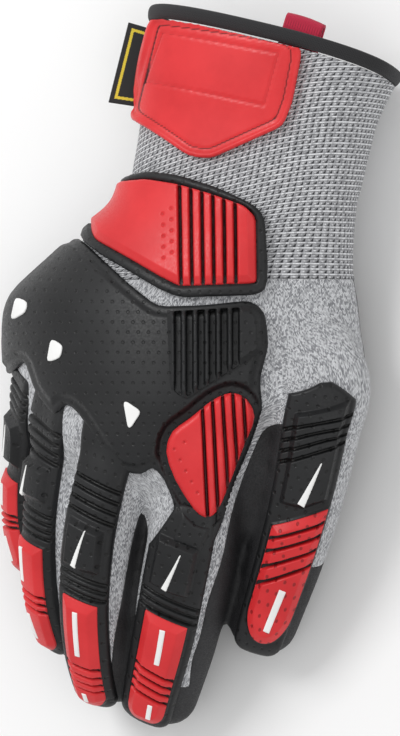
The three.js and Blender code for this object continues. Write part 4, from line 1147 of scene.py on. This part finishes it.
def waffle_group():
    """Waffle knit: a grid of cells, each with a three-cornered hole under a raised bar; the waffle material
    paints the hole near black as shade. Hole is 1 in the hole, Height is high on the bars, and Fleck is a
    random number for each cell."""
    tree, g, start, end = group("waffle_cells", [("Place", "v"), ("Width", "f"), ("Rise", "f")],
                                [("Height", "f"), ("Hole", "f"), ("Fleck", "f")])
    column, row = g.cells(start["Place"], start["Width"], start["Rise"])
    x, y = g.part(column), g.part(row)
    bar = g.span(y, 0.62, 0.80)
    fall = g.span(g.plus(x, g.times(y, 0.55)), 0.42, 0.62, 1.0, 0.0)
    hole = g.times(g.times(fall, g.span(x, 0.06, 0.16)), g.times(g.minus(1.0, bar), g.span(y, 0.04, 0.16)))
    knot = g.span(g.distance(g.minus(x, 0.68), g.minus(y, 0.36)), 0.05, 0.30, 1.0, 0.0)
    g.feed(end["Hole"], hole)
    g.feed(end["Height"], g.minus(g.math("MAXIMUM", bar, g.times(knot, 0.75)), hole))
    g.feed(end["Fleck"], g.random(g.times(column, 3.0), g.times(row, 2.0)))
    return tree


def rubber_group():
    """Moulded rubber: slow changes of tone, fine grain, and small staggered dimples in two sizes of the
    place."""
    tree, g, start, end = group("moulded_skin", [("Place", "v"), ("Flat place", "v"), ("Pitch", "f")],
                                [("Tone", "f"), ("Grain", "f"), ("Dimple", "f")])
    g.feed(end["Tone"], g.noise(start["Place"], 40.0, 4.0))
    g.feed(end["Grain"], g.noise(start["Place"], 1400.0, 2.0))
    column, row = g.cells(start["Flat place"], start["Pitch"], start["Pitch"])
    x = g.minus(g.part(g.plus(column, g.times(g.whole(row), 0.5))), 0.5)
    g.feed(end["Dimple"], g.span(g.distance(x, g.minus(g.part(row), 0.5)), 0.10, 0.20, 1.0, 0.0))
    return tree


STITCHES = stitch_group()
WAFFLE = waffle_group()
MOULDED = rubber_group()


def use_group(g, tree, **values):
    made = g.node("ShaderNodeGroup")
    made.node_tree = tree
    for key, value in values.items():
        g.feed(made.inputs[key.replace("_", " ")], value)
    return made.outputs


def material(name, roughness=0.6, **sockets):
    """A material with its shader, its graph, object coordinates and the piece's own UV places."""
    made = bpy.data.materials.new(name)
    made.use_nodes = True
    g = Graph(made.node_tree)
    made.node_tree.nodes.clear()
    out = g.node("ShaderNodeOutputMaterial")
    shader = g.node("ShaderNodeBsdfPrincipled")
    g.feed(out.inputs[0], shader.outputs[0])
    shader.inputs["Roughness"].default_value = roughness
    for key, value in sockets.items():
        shader.inputs[key.replace("_", " ")].default_value = value
    place = g.node("ShaderNodeTexCoord").outputs["Object"]
    flat = g.node("ShaderNodeUVMap", uv_map="millimetres").outputs[0]
    return made, g, shader.inputs, place, flat


def knit_material():
    made, g, s, place, flat = material("heather_knit", 0.95, Sheen_Weight=0.2, Sheen_Roughness=0.5)
    stitch = use_group(g, STITCHES, Place=flat, Wale=0.8, Course=0.62)
    cloud = g.noise(place, 3600.0, 2.0, 0.6)
    fleck = g.plus(g.times(stitch["Fleck"], 0.8), g.times(cloud, 0.3))
    light = g.mix(g.span(fleck, 0.18, 0.85), (0.21, 0.215, 0.23, 1), (0.67, 0.68, 0.70, 1))
    # Painted shade: the low parts between the stitches are mixed up to 0.55 of the way to dark grey.
    knit_with_painted_shade = g.mix(g.span(stitch["Height"], 0.0, 0.5, 0.55, 0.0), light, (0.10, 0.10, 0.11, 1))
    g.feed(s["Base Color"], knit_with_painted_shade)
    g.feed(s["Normal"], g.bump(stitch["Height"], 0.6, 0.0003))
    return made


def waffle_material():
    made, g, s, place, flat = material("waffle_knit", 0.95, Sheen_Weight=0.2, Sheen_Roughness=0.5)
    cell = use_group(g, WAFFLE, Place=flat, Width=2.35, Rise=1.85)
    cloud = g.noise(place, 2600.0, 2.0, 0.6)
    fleck = g.plus(g.times(cell["Fleck"], 0.5), g.times(cloud, 0.5))
    yarn = g.mix(g.span(fleck, 0.15, 0.75), (0.34, 0.345, 0.36, 1), (0.78, 0.79, 0.81, 1))
    # Painted shade: the low parts of each cell are mixed up to 0.6 of the way to dark grey, and the holes are
    # painted near black.
    high = g.mix(g.span(cell["Height"], 0.0, 0.7, 0.6, 0.0), yarn, (0.16, 0.16, 0.175, 1))
    g.feed(s["Base Color"], g.mix(cell["Hole"], high, (0.012, 0.013, 0.018, 1)))
    g.feed(s["Normal"], g.bump(cell["Height"], 0.9, 0.0009))
    return made


def coating_material():
    made, g, s, place, _ = material("sandy_coating", 0.7)
    grain = g.noise(place, 1800.0, 3.0, 0.7)
    tone = g.noise(place, 60.0, 3.0)
    g.feed(s["Base Color"],
           g.mix(g.span(tone, 0.3, 0.7), (0.006, 0.006, 0.007, 1), (0.016, 0.016, 0.018, 1)))
    g.feed(s["Roughness"], g.span(grain, 0.3, 0.7, 0.45, 0.8))
    g.feed(s["Normal"], g.bump(grain, 0.6, 0.0005))
    return made


def rubber_material(name, low, high, painted_groove_shade, roughness, dimples):
    """Moulded rubber: tone drifts between two colours, and grooves, and dimples where asked, are painted
    darker as shade.
    """
    made, g, s, place, flat = material(name, roughness, Specular_IOR_Level=0.35)
    skin = use_group(g, MOULDED, Place=place, Flat_place=flat, Pitch=3.5)
    tone = g.mix(g.span(skin["Tone"], 0.3, 0.7), low, high)
    # Painted shade: the grooves, by their groove mark, are mixed towards a darker colour of the same rubber.
    colour = g.mix(g.span(g.mark("groove"), 0.3, 0.9), tone, painted_groove_shade)
    # Painted shade: the dimples are mixed three quarters of the way to the same dark colour.
    if dimples:
        colour = g.mix(g.times(skin["Dimple"], 0.75), colour, painted_groove_shade)
    g.feed(s["Base Color"], colour)
    g.feed(s["Roughness"], g.span(skin["Grain"], 0.3, 0.7, roughness - 0.08, roughness + 0.1))
    normal = g.bump(skin["Grain"], 0.15, 0.0001)
    if dimples:
        normal = g.bump(g.times(skin["Dimple"], -1.0), 0.5, 0.0005, normal)
    g.feed(s["Normal"], normal)
    return made


def cloth_material(name, dark, light, wale, roughness=0.9):
    """Woven tape: fine slanted ribs, with the dark colour painted as shade in their low parts."""
    made, g, s, _, flat = material(name, roughness, Sheen_Weight=0.1)
    stitch = use_group(g, STITCHES, Place=flat, Wale=wale, Course=wale * 0.7)
    # Painted shade: the low parts of the ribs take the dark colour.
    g.feed(s["Base Color"], g.mix(g.span(stitch["Height"], 0.1, 0.8), dark, light))
    g.feed(s["Normal"], g.bump(stitch["Height"], 0.5, 0.0003))
    return made


def label_material():
    made, g, s, _, flat = material("woven_tag", 0.75)
    stitch = use_group(g, STITCHES, Place=flat, Wale=0.6, Course=0.4)
    # Painted shade: the low parts of the weave take the darker black.
    base = g.mix(g.span(stitch["Height"], 0.1, 0.8), (0.010, 0.010, 0.010, 1), (0.022, 0.022, 0.022, 1))
    g.feed(s["Base Color"], g.mix(g.span(g.mark("frame"), 0.3, 0.7), base, (0.78, 0.60, 0.05, 1)))
    g.feed(s["Normal"], g.bump(stitch["Height"], 0.4, 0.0002))
    return made


KNIT = knit_material()
CUFF = waffle_material()
COATING = coating_material()
# The third colour of each rubber is the painted shade of its grooves and dimples.
BLACK = rubber_material("black_rubber", (0.006, 0.0063, 0.007, 1), (0.011, 0.0115, 0.0125, 1),
                        (0.001, 0.001, 0.001, 1), 0.46, True)
RED = rubber_material("red_rubber", (0.58, 0.020, 0.024, 1), (0.68, 0.030, 0.034, 1), (0.06, 0.002, 0.003, 1),
                      0.40, False)
RED_DOTTED = rubber_material("red_rubber_dotted", (0.56, 0.018, 0.022, 1), (0.66, 0.028, 0.032, 1),
                             (0.20, 0.004, 0.006, 1), 0.40, True)
WHITE = rubber_material("white_inlay", (0.78, 0.78, 0.77, 1), (0.86, 0.86, 0.85, 1), (0.5, 0.5, 0.5, 1),
                        0.40, False)
# The first colour of each tape is the painted shade between its ribs.
HEM = cloth_material("hem_tape", (0.006, 0.006, 0.007, 1), (0.020, 0.020, 0.022, 1), 1.1)
WEBBING = cloth_material("red_webbing", (0.25, 0.006, 0.02, 1), (0.55, 0.015, 0.06, 1), 0.9)
TAG = label_material()


def add(piece, finish, slot, *nodes):
    """Gives a piece its material, sets it under the root body and hides the CAD nodes that it stands for. slot
    is not used.
    """
    piece.data.materials.append(finish)
    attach(piece, "root")
    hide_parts(*nodes)


add(hand_knit, KNIT, "knit", "hand_knit")
add(palm_coating, COATING, "coating", "palm_coating", "index_coating")
add(cuff_knit, CUFF, "waffle", "cuff_knit")
add(cuff_hem, HEM, "hem", "cuff_hem")
add(loop, WEBBING, "webbing", "hang_loop")
add(side_label, TAG, "label", "side_label")
add(cuff_patch, RED, "red_rubber", "cuff_patch")
add(wrist_guard, BLACK, "black_rubber", "wrist_guard")
add(wrist_pad, RED, "red_rubber", "wrist_pad")
add(knuckle_guard, BLACK, "black_rubber", "knuckle_guard")
add(knuckle_ribs, BLACK, "black_rubber", "knuckle_guard")
add(knuckle_pad, RED, "red_rubber", "knuckle_pad")
for k, insert in enumerate(inserts):
    add(insert, WHITE, "white_inlay", f"knuckle_insert_{k + 1}")
for name, (branch, pad, *strips) in finger_pieces.items():
    add(branch, BLACK, "black_rubber", "thumb_guard" if name == "thumb" else "knuckle_guard")
    add(pad, RED_DOTTED if name == "thumb" else RED, "red_rubber", f"{name}_pad")
    for k, strip in enumerate(strips):
        add(strip, WHITE, "white_inlay", f"{name}_strip_{k + 1}")

# Floor, light and camera
FLOOR_HALF = 1500.0
VIEW_DISTANCE = 1.6
VIEW_MARGIN = 1.0023
AIM_HEIGHT = 40


def floor():
    """A large plain square under the glove."""
    corners = FLOOR_HALF * np.array([[-1, -1, 0], [1, -1, 0], [1, 1, 0], [-1, 1, 0]]) - ORIGIN
    piece = new_piece("floor", corners, np.array([[0, 1, 2, 3]]))
    made, g, s, place, _ = material("pale_floor", 0.9)
    tone = g.span(g.noise(place, 3.0), 0.3, 0.7)
    g.feed(s["Base Color"], g.mix(tone, (0.86, 0.86, 0.86, 1), (0.88, 0.88, 0.88, 1)))
    piece.data.materials.append(made)


def area_light(name, place, energy, size):
    """A large square lamp that faces the glove."""
    lamp = bpy.data.lights.new(name, "AREA")
    lamp.energy = energy
    lamp.size = size
    holder = bpy.data.objects.new(name, lamp)
    holder.location = place
    away = -np.array(place) / np.linalg.norm(place)
    holder.rotation_euler = (math.acos(-away[2]), 0, math.atan2(-away[0], away[1]))
    bpy.context.scene.collection.objects.link(holder)


def studio():
    """Soft light from the upper left, a fill from the right, and a pale surround."""
    area_light("key", (-0.5, 0.7, 1.2), 10, 0.6)
    area_light("fill", (0.9, -0.3, 1.1), 3, 1.0)
    world = bpy.data.worlds.new("surround")
    world.use_nodes = True
    for socket, value in zip(world.node_tree.nodes["Background"].inputs, ((1, 1, 1, 1), 0.70)):
        socket.default_value = value
    bpy.context.scene.world = world
    bpy.context.scene.view_settings.view_transform = "Standard"


def camera():
    """A long lens square on to the plan, with its middle in the middle of the view."""
    data = bpy.data.cameras.new("camera")
    data.sensor_fit = "VERTICAL"
    data.angle = 2 * math.atan(0.5 * GLOVE_LENGTH * VIEW_MARGIN * MM / VIEW_DISTANCE)
    data.clip_end = 20
    holder = bpy.data.objects.new("camera", data)
    holder.location = (ORIGIN + AIM_HEIGHT * PLAN_Z) * MM + PLAN_Z * VIEW_DISTANCE
    holder.rotation_euler = (0, TILT, 0)
    bpy.context.scene.collection.objects.link(holder)
    bpy.context.scene.camera = holder


floor()
studio()
camera()
